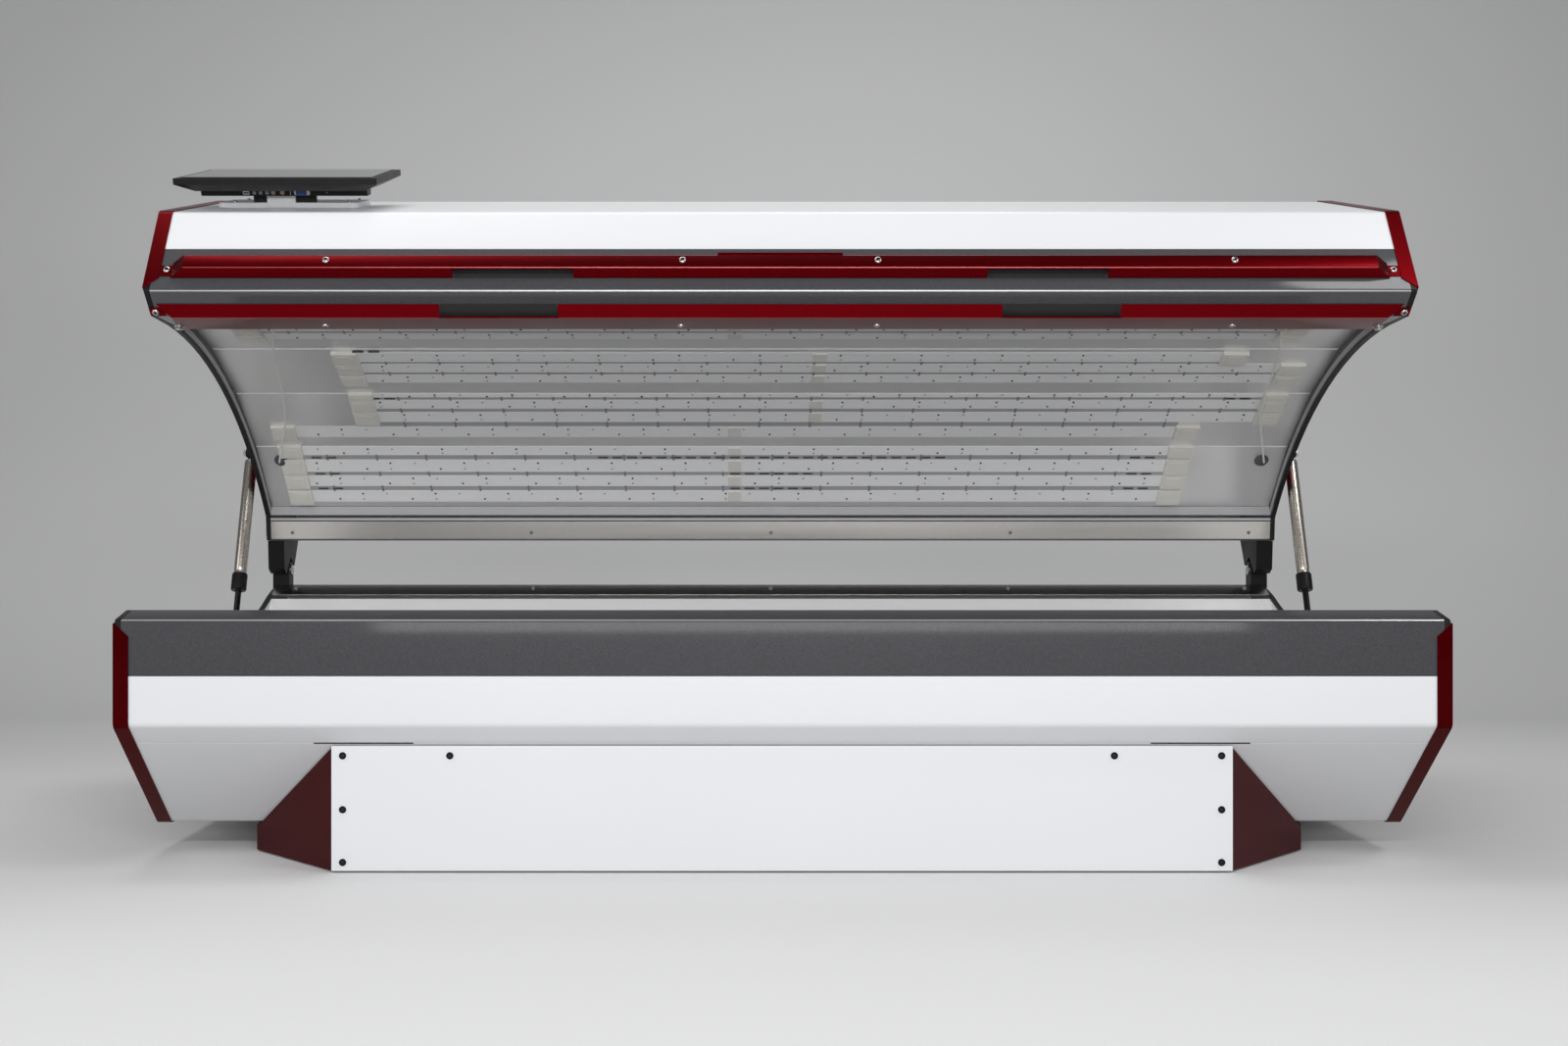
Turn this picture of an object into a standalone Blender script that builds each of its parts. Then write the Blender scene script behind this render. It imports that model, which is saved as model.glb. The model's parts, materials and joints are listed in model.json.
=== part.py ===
"""Clamshell light-therapy bed: base on a pedestal, hinged canopy, gas struts and a tilting screen.

Metres, +Z up, the bed's length along X and its front towards -Y. The origin is on the floor, under
the middle of the box that the open bed fills. Profiles are (depth, height) pairs: depth is measured
back from the front face, height up from the floor, and the canopy is drawn closed and then opened.
"""
import math

import bmesh
import bpy
from mathutils import Vector

# Overall sizes
LENGTH = 2.2574
DEPTH = 1.100
OPEN_ANGLE = math.radians(30.7)

# Sheets and fits
FIT = 0.0003
SHEET = 0.002
CAP_SHEET = 0.002
END_PANEL = 0.010
PANEL_JOINT = 0.0012
MERGE = 0.00001
BEND_RADIUS = 0.016
BEND_STEPS = 4
NOSE_RADIUS = 0.006
ARC_STEPS = 16
ROUND_SIDES = 20
LOBE_STEPS = 10

# Base profile
BELLY_HEIGHT = 0.053
BELLY_RISE = 0.201
BELLY_RUN = 0.228
BASE_FACE_HEIGHT = 0.180
RIM_RISE = 0.0135
RIM_DEPTH = 0.058
TRIM_HEIGHT = 0.094
TRIM_RETURN = 0.020
TRIM_HEM = 0.012
BASE_BED_INSET = 0.146
BASE_BED_DROP = 0.0125
SEAM_DROP = 0.050
SLOT_START = 0.630
SLOT_END = 0.800
SLOT_HEIGHT = 0.004

# Clear bed sheets and the lamp panels behind them
BED_RADIUS = 1.000
BED_SHEET = 0.004
LAMP_GAP = 0.015
LAMP_PANEL = 0.010
LAMP_PANELS = 4
LAMP_JOINT = 0.0010
BASE_LAMP_INSET = 0.182
RETAINER_SHEET = 0.0015
RETAINER_RISE = 0.010
RETAINER_RUN = 0.040
RETAINER_TOP = 0.006
DECK_LAP = 0.010

# Canopy profile, closed
NOSE_GAP = 0.052
CANOPY_FACE_HEIGHT = 0.182
CANOPY_SLOPE_RISE = 0.262
CANOPY_SLOPE_RUN = 0.270
CANOPY_REAR_FACE = 0.053
CANOPY_TOP_LAP = 0.030
CANOPY_CROWN = 0.128
CANOPY_BED_INSET = 0.139
CANOPY_BED_REAR = 0.205
CANOPY_BED_SHIFT = 0.0142
CANOPY_BED_DROP = 0.0056
CANOPY_LAMP_INSET = 0.180
CANOPY_LAMP_REAR = 0.212
SILL_INSET = 0.1745
SILL_RISE = 0.0255
RAIL_SHEET = 0.003

# Red end caps
FLANGE = 0.026
FLANGE_SLANT = 0.022
CAP_NOSE_GAP = 0.006
CAP_EDGE = 0.012

# Hinge
HINGE_INSET = 0.078
HINGE_RISE = 0.043
HINGE_END_GAP = 0.0213
HINGE_WIDTH = 0.036
HINGE_RADIUS = 0.019
HINGE_FOOT = 0.012
TONGUE_WIDTH = 0.021
PIN_RADIUS = 0.006
ARM_HALF_DEPTH = 0.020
ARM_OVERLAP = 0.010
ARM_GAP = 0.003
ARM_SILL_GAP = 0.006
ARM_TOE = (-0.0534, -0.0276)
ARM_TOE_WIDTH = 0.0214

# Gas struts
STRUT_OFFSET = 0.0222
STRUT_FOOT = (-0.2585, -0.1905)
STRUT_HEAD = (-0.2218, 0.1724)
TUBE_RADIUS = 0.0135
NECK_RADIUS = 0.006
COLLAR_RADIUS = 0.0185
COLLAR_LENGTH = 0.038
ROD_RADIUS = 0.0065
ROD_FIT = 0.0005
ROD_SHOWING = 0.160
ROD_INSIDE = 0.050
EYE_RADIUS = 0.0145
EYE_WIDTH = 0.014
EYE_ROOT = 0.010
FOOT_STUD_RADIUS = 0.006
HEAD_STUD_RADIUS = 0.005
STUD_HEAD_RADIUS = 0.0105
STUD_HEAD = 0.004
EYE_FIT = 0.0005
HEAD_EYE_FIT = 0.0038
CAP_HOLE_FIT = 0.002

# Grip rails on the canopy
GRIP_SHEET = 0.0015
GRIP_FOLD = 0.0025
GRIP_REACH = 0.0205
GRIP_END_BEVEL = 0.025
UPPER_GRIP_BACK = 0.0600
UPPER_GRIP_TOP = 0.0640
UPPER_GRIP_APEX = 0.0345
UPPER_GRIP_FOOT = 0.0273
UPPER_GRIP_END = 0.0462
GRIP_TAB_LAP = 0.0075
GRIP_TAB_REACH = 0.0195
GRIP_TAB_FOOT = 0.0320
GRIP_TAB_TOP = 0.0555
LOWER_GRIP_END = 0.0187
LOWER_GRIP_DROP = 0.0115
LOWER_GRIP_LEAD = 0.0095
LOWER_GRIP_LAP = 0.021
UPPER_CUT = (0.367, 0.581)
LOWER_CUT = (0.396, 0.607)
GRIP_CUT_MARGIN = 0.003
GRIP_CUT_EDGE = 0.0015
LOWER_CUT_RISE = 0.005

# Screen on the canopy slope
SCREEN_WIDTH = 0.372
SCREEN_DEPTH = 0.236
SCREEN_RIM = 0.011
SCREEN_BACK = 0.014
SCREEN_BACK_INSET = 0.030
SCREEN_LEFT = 0.0227
SCREEN_FRONT = 0.022
SCREEN_GLASS = 0.0015
SCREEN_BEZEL = 0.012
SCREEN_LIFT = 0.036
SCREEN_TILT = math.radians(2.0)
STAND_WIDTH = 0.255
STAND_DEPTH = 0.130
STAND_SHEET = 0.010
STAND_CORNER = 0.014
STAND_BACKSET = 0.125
BLOCK_WIDTH = 0.054
BLOCK_DEPTH = 0.022
BLOCK_INSET = 0.005
BARREL_RADIUS = 0.009
BARREL_HEIGHT = 0.026
BARREL_PIN_RADIUS = 0.004
BLOCK_DROP = 0.002
LUG_WIDTH = 0.016
LUG_GAP = 0.0006

# Pedestal
PEDESTAL_INSET = 0.3592
PEDESTAL_SETBACK = 0.039
PEDESTAL_SHEET = 0.003
FLOOR_GAP = 0.003
WING_WIDTH = 0.1805
WING_SETBACK = 0.234
WING_FLANGE = 0.040
WING_GAP = 0.003
TUBE_WIDTH = 0.040
FRAME_BEARING = 0.010
FRAME_CROSS_X = 0.310
FOOT_HEIGHT = 0.020
FOOT_RADIUS = 0.026
FOOT_PAD = 0.007
FOOT_STEM = 0.007
FOOT_INSET = 0.060
PAN_SHEET = 0.002
PAN_INSET = 0.006

# Supplies, fan and inlet
DRIVER_SIZE = (0.330, 0.130, 0.062)
DRIVER_X = 0.300
DRIVER_EDGE = 0.004
FAN_SIZE = 0.120
FAN_HEIGHT = 0.025
FAN_BORE = 0.056
FAN_X = -0.450
FAN_HUB = 0.019
FAN_BRIDGE = 0.005
FAN_BRIDGE_WIDTH = 0.009
FAN_SPINDLE = 0.003
FAN_BLADES = 7
BLADE_ROOT = 0.30
BLADE_SWEEP = 0.45
BLADE_TIP = 0.50
FAN_TIP_GAP = 0.003
FAN_BLADE_HEIGHT = 0.014
FAN_RUNNING_GAP = 0.0005
INLET_SIZE = (0.050, 0.028)
INLET_FLANGE = 0.008
INLET_FLANGE_SHEET = 0.003
INLET_BODY = 0.032
INLET_X = -0.500
INLET_RISE = 0.070

# Lamp leads inside the canopy ends, as (depth, distance in from the end)
LEAD_RADIUS = 0.002
LEAD_ROUTE = ((0.200, 0.179), (0.320, 0.146), (0.420, 0.129), (0.520, 0.117), (0.600, 0.103),
              (0.680, 0.079), (0.740, 0.061))
LEAD_STEPS = 4

# Size that the pivots are drawn at
PIVOT_SIZE = 0.050

# Levels and lines worked out from the sizes above
HALF = LENGTH / 2
SKIN = CAP_SHEET + FIT
PANEL_OUT = HALF - SKIN
PANEL_IN = PANEL_OUT - END_PANEL
SPAN = PANEL_IN - FIT
HINGE_X = HALF - HINGE_END_GAP
UPPER_GRIP_HALF = HALF - UPPER_GRIP_END
LOWER_GRIP_HALF = HALF - LOWER_GRIP_END
PEDESTAL_HALF = HALF - PEDESTAL_INSET
WING_HALF = PEDESTAL_HALF + WING_WIDTH
BASE_BEND_Z = BELLY_HEIGHT + BELLY_RISE
BASE_NOSE_Z = BASE_BEND_Z + BASE_FACE_HEIGHT
BASE_RIM_Z = BASE_NOSE_Z + RIM_RISE
BASE_BED_Z = BASE_RIM_Z - BASE_BED_DROP
CANOPY_NOSE_Z = BASE_NOSE_Z + NOSE_GAP
CANOPY_RIM_Z = CANOPY_NOSE_Z - RIM_RISE
CANOPY_BEND_Z = CANOPY_NOSE_Z + CANOPY_FACE_HEIGHT
CANOPY_TOP_Z = CANOPY_BEND_Z + CANOPY_SLOPE_RISE
CANOPY_REAR_Z = CANOPY_BEND_Z - CANOPY_REAR_FACE
CANOPY_CROWN_Z = CANOPY_NOSE_Z + CANOPY_CROWN
SILL = (DEPTH - SILL_INSET, CANOPY_NOSE_Z + SILL_RISE)
HINGE = Vector((DEPTH - HINGE_INSET, BASE_RIM_Z + HINGE_RISE))
STRUT_X = HALF + STRUT_OFFSET
FRAME_FRONT = WING_SETBACK + CAP_SHEET

BASE_CORNERS = ((0, BASE_NOSE_Z), (0, BASE_BEND_Z), (BELLY_RUN, BELLY_HEIGHT),
                (DEPTH - BELLY_RUN, BELLY_HEIGHT), (DEPTH, BASE_BEND_Z), (DEPTH, BASE_NOSE_Z))
CANOPY_CORNERS = ((DEPTH, CANOPY_REAR_Z), (DEPTH, CANOPY_BEND_Z),
                  (DEPTH - CANOPY_SLOPE_RUN, CANOPY_TOP_Z), (CANOPY_SLOPE_RUN, CANOPY_TOP_Z),
                  (0, CANOPY_BEND_Z), (0, CANOPY_NOSE_Z))

# Colours as (red, green, blue), roughness, metallic
FINISHES = {
    "white_enamel": ((0.82, 0.83, 0.84), 0.35, 0.0),
    "graphite_enamel": ((0.065, 0.065, 0.072), 0.38, 0.6),
    "candy_red": ((0.17, 0.002, 0.006), 0.18, 0.3),
    "polished_steel": ((0.72, 0.70, 0.67), 0.12, 1.0),
    "brushed_nickel": ((0.50, 0.47, 0.43), 0.28, 1.0),
    "black_steel": ((0.015, 0.015, 0.016), 0.45, 0.5),
    "clear_acrylic": ((0.88, 0.89, 0.92), 0.08, 0.0),
    "lamp_board": ((0.80, 0.80, 0.80), 0.50, 0.0),
    "black_plastic": ((0.012, 0.012, 0.013), 0.42, 0.0),
    "dark_glass": ((0.004, 0.004, 0.005), 0.06, 0.0),
    "galvanised_steel": ((0.45, 0.46, 0.47), 0.45, 0.9),
    "white_cable": ((0.85, 0.85, 0.83), 0.50, 0.0),
}


def fillet(corners, radius, steps=BEND_STEPS):
    """Round the inner corners of an open path."""
    path = [Vector(corners[0])]
    for before, corner, after in zip(corners, corners[1:], corners[2:]):
        corner = Vector(corner)
        back = (Vector(before) - corner).normalized()
        ahead = (Vector(after) - corner).normalized()
        half = back.angle(ahead) / 2
        reach = radius / math.tan(half)
        centre = corner + (back + ahead).normalized() * radius / math.sin(half)
        start = (corner + back * reach - centre).normalized()
        end = (corner + ahead * reach - centre).normalized()
        for step in range(steps + 1):
            path.append(centre + start.slerp(end, step / steps).normalized() * radius)
    path.append(Vector(corners[-1]))
    return path


def inset(path, distance):
    """Shift an open path towards the inside of the body that it runs round."""
    points = [Vector(point) for point in path]
    runs = [(b - a).normalized() for a, b in zip(points, points[1:])]
    normals = [Vector((-run.y, run.x)) for run in runs]
    firsts = [normals[0]] + normals
    lasts = normals + [normals[-1]]
    return [p + (a + b) * distance / (1 + a.dot(b)) for p, a, b in zip(points, firsts, lasts)]


def along(start, end, distance):
    """The point on a line at a distance from its start."""
    start = Vector(start)
    return start + (Vector(end) - start).normalized() * distance


def mirrored(path):
    """The same path on the rear side, run the other way."""
    return [Vector((DEPTH - point[0], point[1])) for point in reversed(path)]


def opened(point):
    """Where a point of the closed canopy lies when the canopy is open."""
    turn = Vector(point) - HINGE
    cos, sin = math.cos(OPEN_ANGLE), math.sin(OPEN_ANGLE)
    return HINGE + Vector((turn.x * cos + turn.y * sin, turn.y * cos - turn.x * sin))


def bed_arc(centre, rise, start, end, radius=BED_RADIUS, steps=ARC_STEPS):
    """Points of a bed sheet's arc between two depths; rise is 1 for an arch and -1 for a trough."""
    first = math.asin((start - centre.x) / radius)
    last = math.asin((end - centre.x) / radius)
    angles = [first + (last - first) * step / steps for step in range(steps + 1)]
    return [centre + Vector((radius * math.sin(a), rise * radius * math.cos(a))) for a in angles]


TOTAL_DEPTH = max(opened(point).x for point in fillet(CANOPY_CORNERS, BEND_RADIUS))
FRONT_Y = -TOTAL_DEPTH / 2
BASE_SKIN = inset(BASE_CORNERS, SKIN)
CANOPY_SKIN = inset(CANOPY_CORNERS, SKIN)
BASE_BED_END = DEPTH - BASE_BED_INSET
BASE_BED_RISE = math.sqrt(BED_RADIUS**2 - (DEPTH / 2 - BASE_BED_INSET)**2)
BASE_BED_CENTRE = Vector((DEPTH / 2, BASE_BED_Z + BASE_BED_RISE))
CANOPY_LAMP_CENTRE = Vector((DEPTH / 2, CANOPY_CROWN_Z - BED_RADIUS))
CANOPY_BED_CENTRE = CANOPY_LAMP_CENTRE + Vector((CANOPY_BED_SHIFT, -CANOPY_BED_DROP))
CANOPY_BED_END = DEPTH - CANOPY_BED_REAR
CANOPY_BED_FRONT = bed_arc(CANOPY_BED_CENTRE, 1, CANOPY_BED_INSET, CANOPY_BED_END)[0]
CANOPY_BED_BACK = bed_arc(CANOPY_BED_CENTRE, 1, CANOPY_BED_INSET, CANOPY_BED_END)[-1]
BASE_RIM = Vector((RIM_DEPTH, BASE_RIM_Z))
CANOPY_RIM = Vector((RIM_DEPTH, CANOPY_RIM_Z))
BASE_NOSE = fillet([BASE_RIM, BASE_SKIN[0], BASE_SKIN[1]], NOSE_RADIUS)[1:-1]
CANOPY_NOSE = fillet([CANOPY_SKIN[-2], CANOPY_SKIN[-1], CANOPY_RIM], NOSE_RADIUS)[1:-1]


def bed_edge_lean(centre, edge):
    """How far a bed sheet's square-cut edge leans outwards over the sheet's thickness."""
    return BED_SHEET * (centre.x - edge) / BED_RADIUS


class Carrier:
    """What a piece is built on: an empty, and the profile point that the empty stands at."""

    def __init__(self, pivot, depth, height):
        self.pivot = pivot
        self.depth = depth
        self.height = height

    def at(self, x, depth, height):
        return Vector((x, depth - self.depth, height - self.height))


def clear_scene():
    for old in list(bpy.data.objects):
        bpy.data.objects.remove(old, do_unlink=True)
    for old in list(bpy.data.collections):
        bpy.data.collections.remove(old)


def new_collection(name):
    collection = bpy.data.collections.new(name)
    bpy.context.scene.collection.children.link(collection)
    return collection


def finish_material(name):
    """The Principled material of one finish, made once."""
    material = bpy.data.materials.get(name)
    if material is None:
        colour, roughness, metallic = FINISHES[name]
        material = bpy.data.materials.new(name)
        material.use_nodes = True
        shader = material.node_tree.nodes["Principled BSDF"]
        shader.inputs["Base Color"].default_value = (*colour, 1.0)
        shader.inputs["Roughness"].default_value = roughness
        shader.inputs["Metallic"].default_value = metallic
    return material


def add_object(name, data, finish, carrier):
    """Link one piece to the bed's collection and to its carrier."""
    piece = bpy.data.objects.new(name, data)
    data.materials.append(finish_material(finish))
    bpy.data.collections["light_therapy_bed"].objects.link(piece)
    piece.parent = carrier.pivot
    return piece


def add_empty(name, location, angle, parent=None):
    """A pivot whose X axis is the joint's axis."""
    pivot = bpy.data.objects.new(name, None)
    pivot.empty_display_size = PIVOT_SIZE
    pivot.location = location
    pivot.rotation_euler = (angle, 0, 0)
    pivot.parent = parent
    bpy.data.collections["light_therapy_bed"].objects.link(pivot)
    return pivot


def apply_tool(piece, tool, operation):
    """Cut a piece with a tool, or join the tool's shape to it."""
    bpy.data.collections["light_therapy_bed"].objects.unlink(tool)
    bpy.data.collections["bed_cutters"].objects.link(tool)
    tool.hide_render = True
    tool.display_type = 'WIRE'
    boolean = piece.modifiers.new(operation.title(), 'BOOLEAN')
    boolean.operation = operation
    boolean.solver = 'EXACT'
    boolean.object = tool


def mesh_from(name, bm):
    mesh = bpy.data.meshes.new(name)
    bm.to_mesh(mesh)
    bm.free()
    return mesh


def thicken(piece, thickness):
    solid = piece.modifiers.new("Sheet", 'SOLIDIFY')
    solid.thickness = thickness
    solid.offset = -1
    solid.solidify_mode = 'NON_MANIFOLD'
    solid.nonmanifold_thickness_mode = 'CONSTRAINTS'
    solid.nonmanifold_merge_threshold = MERGE


def folded_sheet(name, path, x_from, x_to, thickness, finish, carrier):
    """A sheet folded along a profile path; its outer side lies on the path."""
    bm = bmesh.new()
    rows = [[bm.verts.new(carrier.at(x, *point)) for x in (x_from, x_to)] for point in path]
    for first, second in zip(rows, rows[1:]):
        bm.faces.new((first[0], second[0], second[1], first[1]))
    piece = add_object(name, mesh_from(name, bm), finish, carrier)
    thicken(piece, thickness)
    return piece


def flat_plate(name, outlines, thickness, finish, carrier, rotation, location):
    """A plate cut from flat outlines (the first is its edge, the others are holes), as a mesh."""
    curve = bpy.data.curves.new(name, 'CURVE')
    curve.dimensions = '2D'
    curve.fill_mode = 'BOTH'
    curve.extrude = thickness / 2
    for outline in outlines:
        spline = curve.splines.new('POLY')
        spline.points.add(len(outline) - 1)
        for point, place in zip(spline.points, outline):
            point.co = (place[0], place[1], 0, 1)
        spline.use_cyclic_u = True
    drawn = bpy.data.objects.new(name + "_outline", curve)
    bpy.context.scene.collection.objects.link(drawn)
    evaluated = drawn.evaluated_get(bpy.context.evaluated_depsgraph_get())
    mesh = bpy.data.meshes.new_from_object(evaluated)
    bpy.data.objects.remove(drawn, do_unlink=True)
    bm = bmesh.new()
    bm.from_mesh(mesh)
    bmesh.ops.remove_doubles(bm, verts=bm.verts, dist=MERGE)
    bm.to_mesh(mesh)
    bm.free()
    mesh.materials.clear()
    piece = add_object(name, mesh, finish, carrier)
    piece.rotation_euler = rotation
    piece.location = location
    return piece


def side_plate(name, outlines, x_middle, thickness, finish, carrier):
    """A plate across the bed's length, from outlines in (depth, height)."""
    shifted = [[(p[0] - carrier.depth, p[1] - carrier.height) for p in outline] for outline in outlines]
    turn = (math.pi / 2, 0, math.pi / 2)
    return flat_plate(name, shifted, thickness, finish, carrier, turn, (x_middle, 0, 0))


def box(name, lowest, highest, finish, carrier, edge=0.0):
    """A block between two corners, with its edges rounded if an edge is given."""
    bm = bmesh.new()
    bmesh.ops.create_cube(bm, size=1)
    low, high = carrier.at(*lowest), carrier.at(*highest)
    for vert in bm.verts:
        vert.co = [low[i] + (high[i] - low[i]) * (vert.co[i] + 0.5) for i in range(3)]
    piece = add_object(name, mesh_from(name, bm), finish, carrier)
    if edge:
        bevel = piece.modifiers.new("Edges", 'BEVEL')
        bevel.width = edge
        bevel.segments = 2
    return piece


def turned(name, profile, finish, carrier, location, rotation=(0, 0, 0)):
    """A turned piece from (radius, height) points that run down its outer side."""
    mesh = bpy.data.meshes.new(name)
    edges = [(i, i + 1) for i in range(len(profile) - 1)]
    mesh.from_pydata([(radius, 0, height) for radius, height in profile], edges, [])
    piece = add_object(name, mesh, finish, carrier)
    screw = piece.modifiers.new("Turn", 'SCREW')
    screw.steps = ROUND_SIDES
    screw.render_steps = ROUND_SIDES
    screw.use_merge_vertices = True
    screw.merge_threshold = MERGE
    screw.use_smooth_shade = True
    piece.location = location
    piece.rotation_euler = rotation
    return piece


def round_bar(name, radius, x_from, x_to, depth, height, finish, carrier):
    """A bar along the bed's length."""
    profile = [(0, x_to), (radius, x_to), (radius, x_from), (0, x_from)]
    return turned(name, profile, finish, carrier, carrier.at(0, depth, height), (0, math.pi / 2, 0))


def round_outline(middle, radius, sides=ROUND_SIDES, first=0.0, sweep=math.tau):
    """Points of an arc or, with the full sweep, of a circle."""
    count = sides if sweep == math.tau else sides + 1
    angles = [first + sweep * i / sides for i in range(count)]
    return [Vector((middle[0] + radius * math.cos(a), middle[1] + radius * math.sin(a))) for a in angles]


def end_cap(name, path, closing, side, carrier):
    """A red end cap: a plate over the end with a flange folded along its outline."""
    bm = bmesh.new()
    plate = [bm.verts.new(carrier.at(side * HALF, *point)) for point in path]
    rest = [bm.verts.new(carrier.at(side * HALF, *point)) for point in closing]
    folded = list(path)
    folded[0] = along(path[0], path[1], FLANGE_SLANT)
    folded[-1] = along(path[-1], path[-2], FLANGE_SLANT)
    inner = [bm.verts.new(carrier.at(side * (HALF - FLANGE), *point)) for point in folded]
    outline = plate + rest
    bm.faces.new(outline if side > 0 else outline[::-1])
    for i in range(len(path) - 1):
        quad = (plate[i + 1], plate[i], inner[i], inner[i + 1])
        bm.faces.new(quad if side > 0 else quad[::-1])
    piece = add_object(name, mesh_from(name, bm), "candy_red", carrier)
    thicken(piece, CAP_SHEET)
    return piece


def lamp_panels(prefix, centre, rise, start, end, carrier):
    """Flat lamp boards that follow the bed sheet as facets, spanning the end panels."""
    back = BED_RADIUS + BED_SHEET + LAMP_GAP
    first = math.asin((start - centre.x) / back)
    facet = (math.asin((end - centre.x) / back) - first) / LAMP_PANELS
    radius = back / math.cos(facet / 2)
    for number in range(LAMP_PANELS):
        ends = []
        for angle in (first + facet * number, first + facet * (number + 1)):
            ends.append(centre + Vector((math.sin(angle), rise * math.cos(angle))) * radius)
        path = [along(ends[0], ends[1], LAMP_JOINT / 2), along(ends[1], ends[0], LAMP_JOINT / 2)]
        if rise < 0:
            path.reverse()
        name = f"{prefix}_lamp_panel_{number + 1}"
        folded_sheet(name, path, -SPAN, SPAN, LAMP_PANEL, "lamp_board", carrier)


def stud_tool(name, side, radius, depth, height, carrier):
    """A strut stud with its head, rooted in an end panel."""
    root = PANEL_OUT - END_PANEL / 2
    shoulder = STRUT_X + EYE_WIDTH / 2 + EYE_FIT
    profile = [(0, shoulder + STUD_HEAD), (STUD_HEAD_RADIUS, shoulder + STUD_HEAD),
               (STUD_HEAD_RADIUS, shoulder), (radius, shoulder), (radius, root), (0, root)]
    place = carrier.at(0, depth, height)
    return turned(name, profile, "black_steel", carrier, place, (0, side * math.pi / 2, 0))


def build_base_covers(base):
    """White covers, graphite nose trim and the floor pan."""
    nose, bend, belly = BASE_SKIN[0], BASE_SKIN[1], BASE_SKIN[2]
    trim_foot = BASE_NOSE_Z - TRIM_HEIGHT
    seam = along(bend, belly, SEAM_DROP)
    bed_edge = BASE_BED_INSET - bed_edge_lean(BASE_BED_CENTRE, BASE_BED_INSET) - FIT
    trim = [(bed_edge, BASE_BED_Z - TRIM_HEM), (bed_edge, BASE_BED_Z), BASE_RIM, *BASE_NOSE,
            (nose.x, trim_foot), (nose.x + TRIM_RETURN, trim_foot)]
    folded_sheet("base_nose_trim", trim, -SPAN, SPAN, SHEET, "graphite_enamel", base)
    fascia = fillet([(nose.x, trim_foot - PANEL_JOINT), bend, seam], BEND_RADIUS - SKIN)
    folded_sheet("base_front_fascia", fascia, -SPAN, SPAN, SHEET, "white_enamel", base)
    foot = Vector((FRAME_FRONT + FRAME_BEARING, belly.y))
    panel = fillet([along(seam, belly, PANEL_JOINT), belly, foot], BEND_RADIUS - SKIN)
    slope = folded_sheet("base_belly_panel", panel, -SPAN, SPAN, SHEET, "white_enamel", base)
    slot = along(seam, belly, SLOT_HEIGHT)
    for side in (-1, 1):
        low = (min(side * SLOT_START, side * SLOT_END), seam.x - TRIM_RETURN, slot.y)
        high = (max(side * SLOT_START, side * SLOT_END), slot.x + TRIM_RETURN, seam.y + SLOT_HEIGHT)
        apply_tool(slope, box(f"belly_slot_{side}", low, high, "black_steel", base), 'DIFFERENCE')
    deck_edge = BASE_BED_INSET - RETAINER_RUN + DECK_LAP
    cover = [(deck_edge, BASE_RIM_Z), BASE_RIM, *BASE_NOSE]
    cover += fillet([nose, bend, belly, foot], BEND_RADIUS - SKIN)[1:]
    rear = folded_sheet("base_rear_cover", mirrored(cover), -SPAN, SPAN, SHEET, "white_enamel", base)
    build_inlet(rear, base)
    pan_z = belly.y + SHEET + FIT
    pan_front = belly.x + PAN_INSET
    pan = box("base_floor_pan", (-SPAN, pan_front, pan_z), (SPAN, DEPTH - pan_front, pan_z + PAN_SHEET),
              "galvanised_steel", base)
    build_fan(pan, pan_z, base)
    middle = DEPTH / 2
    low = (DRIVER_X - DRIVER_SIZE[0] / 2, middle - DRIVER_SIZE[1] / 2, pan_z + PAN_SHEET + FIT)
    high = (low[0] + DRIVER_SIZE[0], low[1] + DRIVER_SIZE[1], low[2] + DRIVER_SIZE[2])
    box("base_lamp_driver", low, high, "galvanised_steel", base, DRIVER_EDGE)


def build_inlet(rear, base):
    """Mains inlet in the rear face, through a hole in the rear cover."""
    face = DEPTH - SKIN
    width, height = INLET_SIZE
    z = BASE_BEND_Z + INLET_RISE
    low = (INLET_X - width / 2, face - INLET_BODY, z - height / 2)
    high = (INLET_X + width / 2, face + FIT + INLET_FLANGE_SHEET / 2, z + height / 2)
    hole_low = (low[0] - FIT, face - INLET_BODY, low[2] - FIT)
    hole_high = (high[0] + FIT, face + INLET_BODY, high[2] + FIT)
    apply_tool(rear, box("inlet_hole", hole_low, hole_high, "black_plastic", base), 'DIFFERENCE')
    flange_low = (low[0] - INLET_FLANGE, face + FIT, low[2] - INLET_FLANGE)
    flange_high = (high[0] + INLET_FLANGE, face + FIT + INLET_FLANGE_SHEET, high[2] + INLET_FLANGE)
    inlet = box("power_inlet", flange_low, flange_high, "black_plastic", base)
    apply_tool(inlet, box("inlet_body", low, high, "black_plastic", base), 'UNION')


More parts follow.
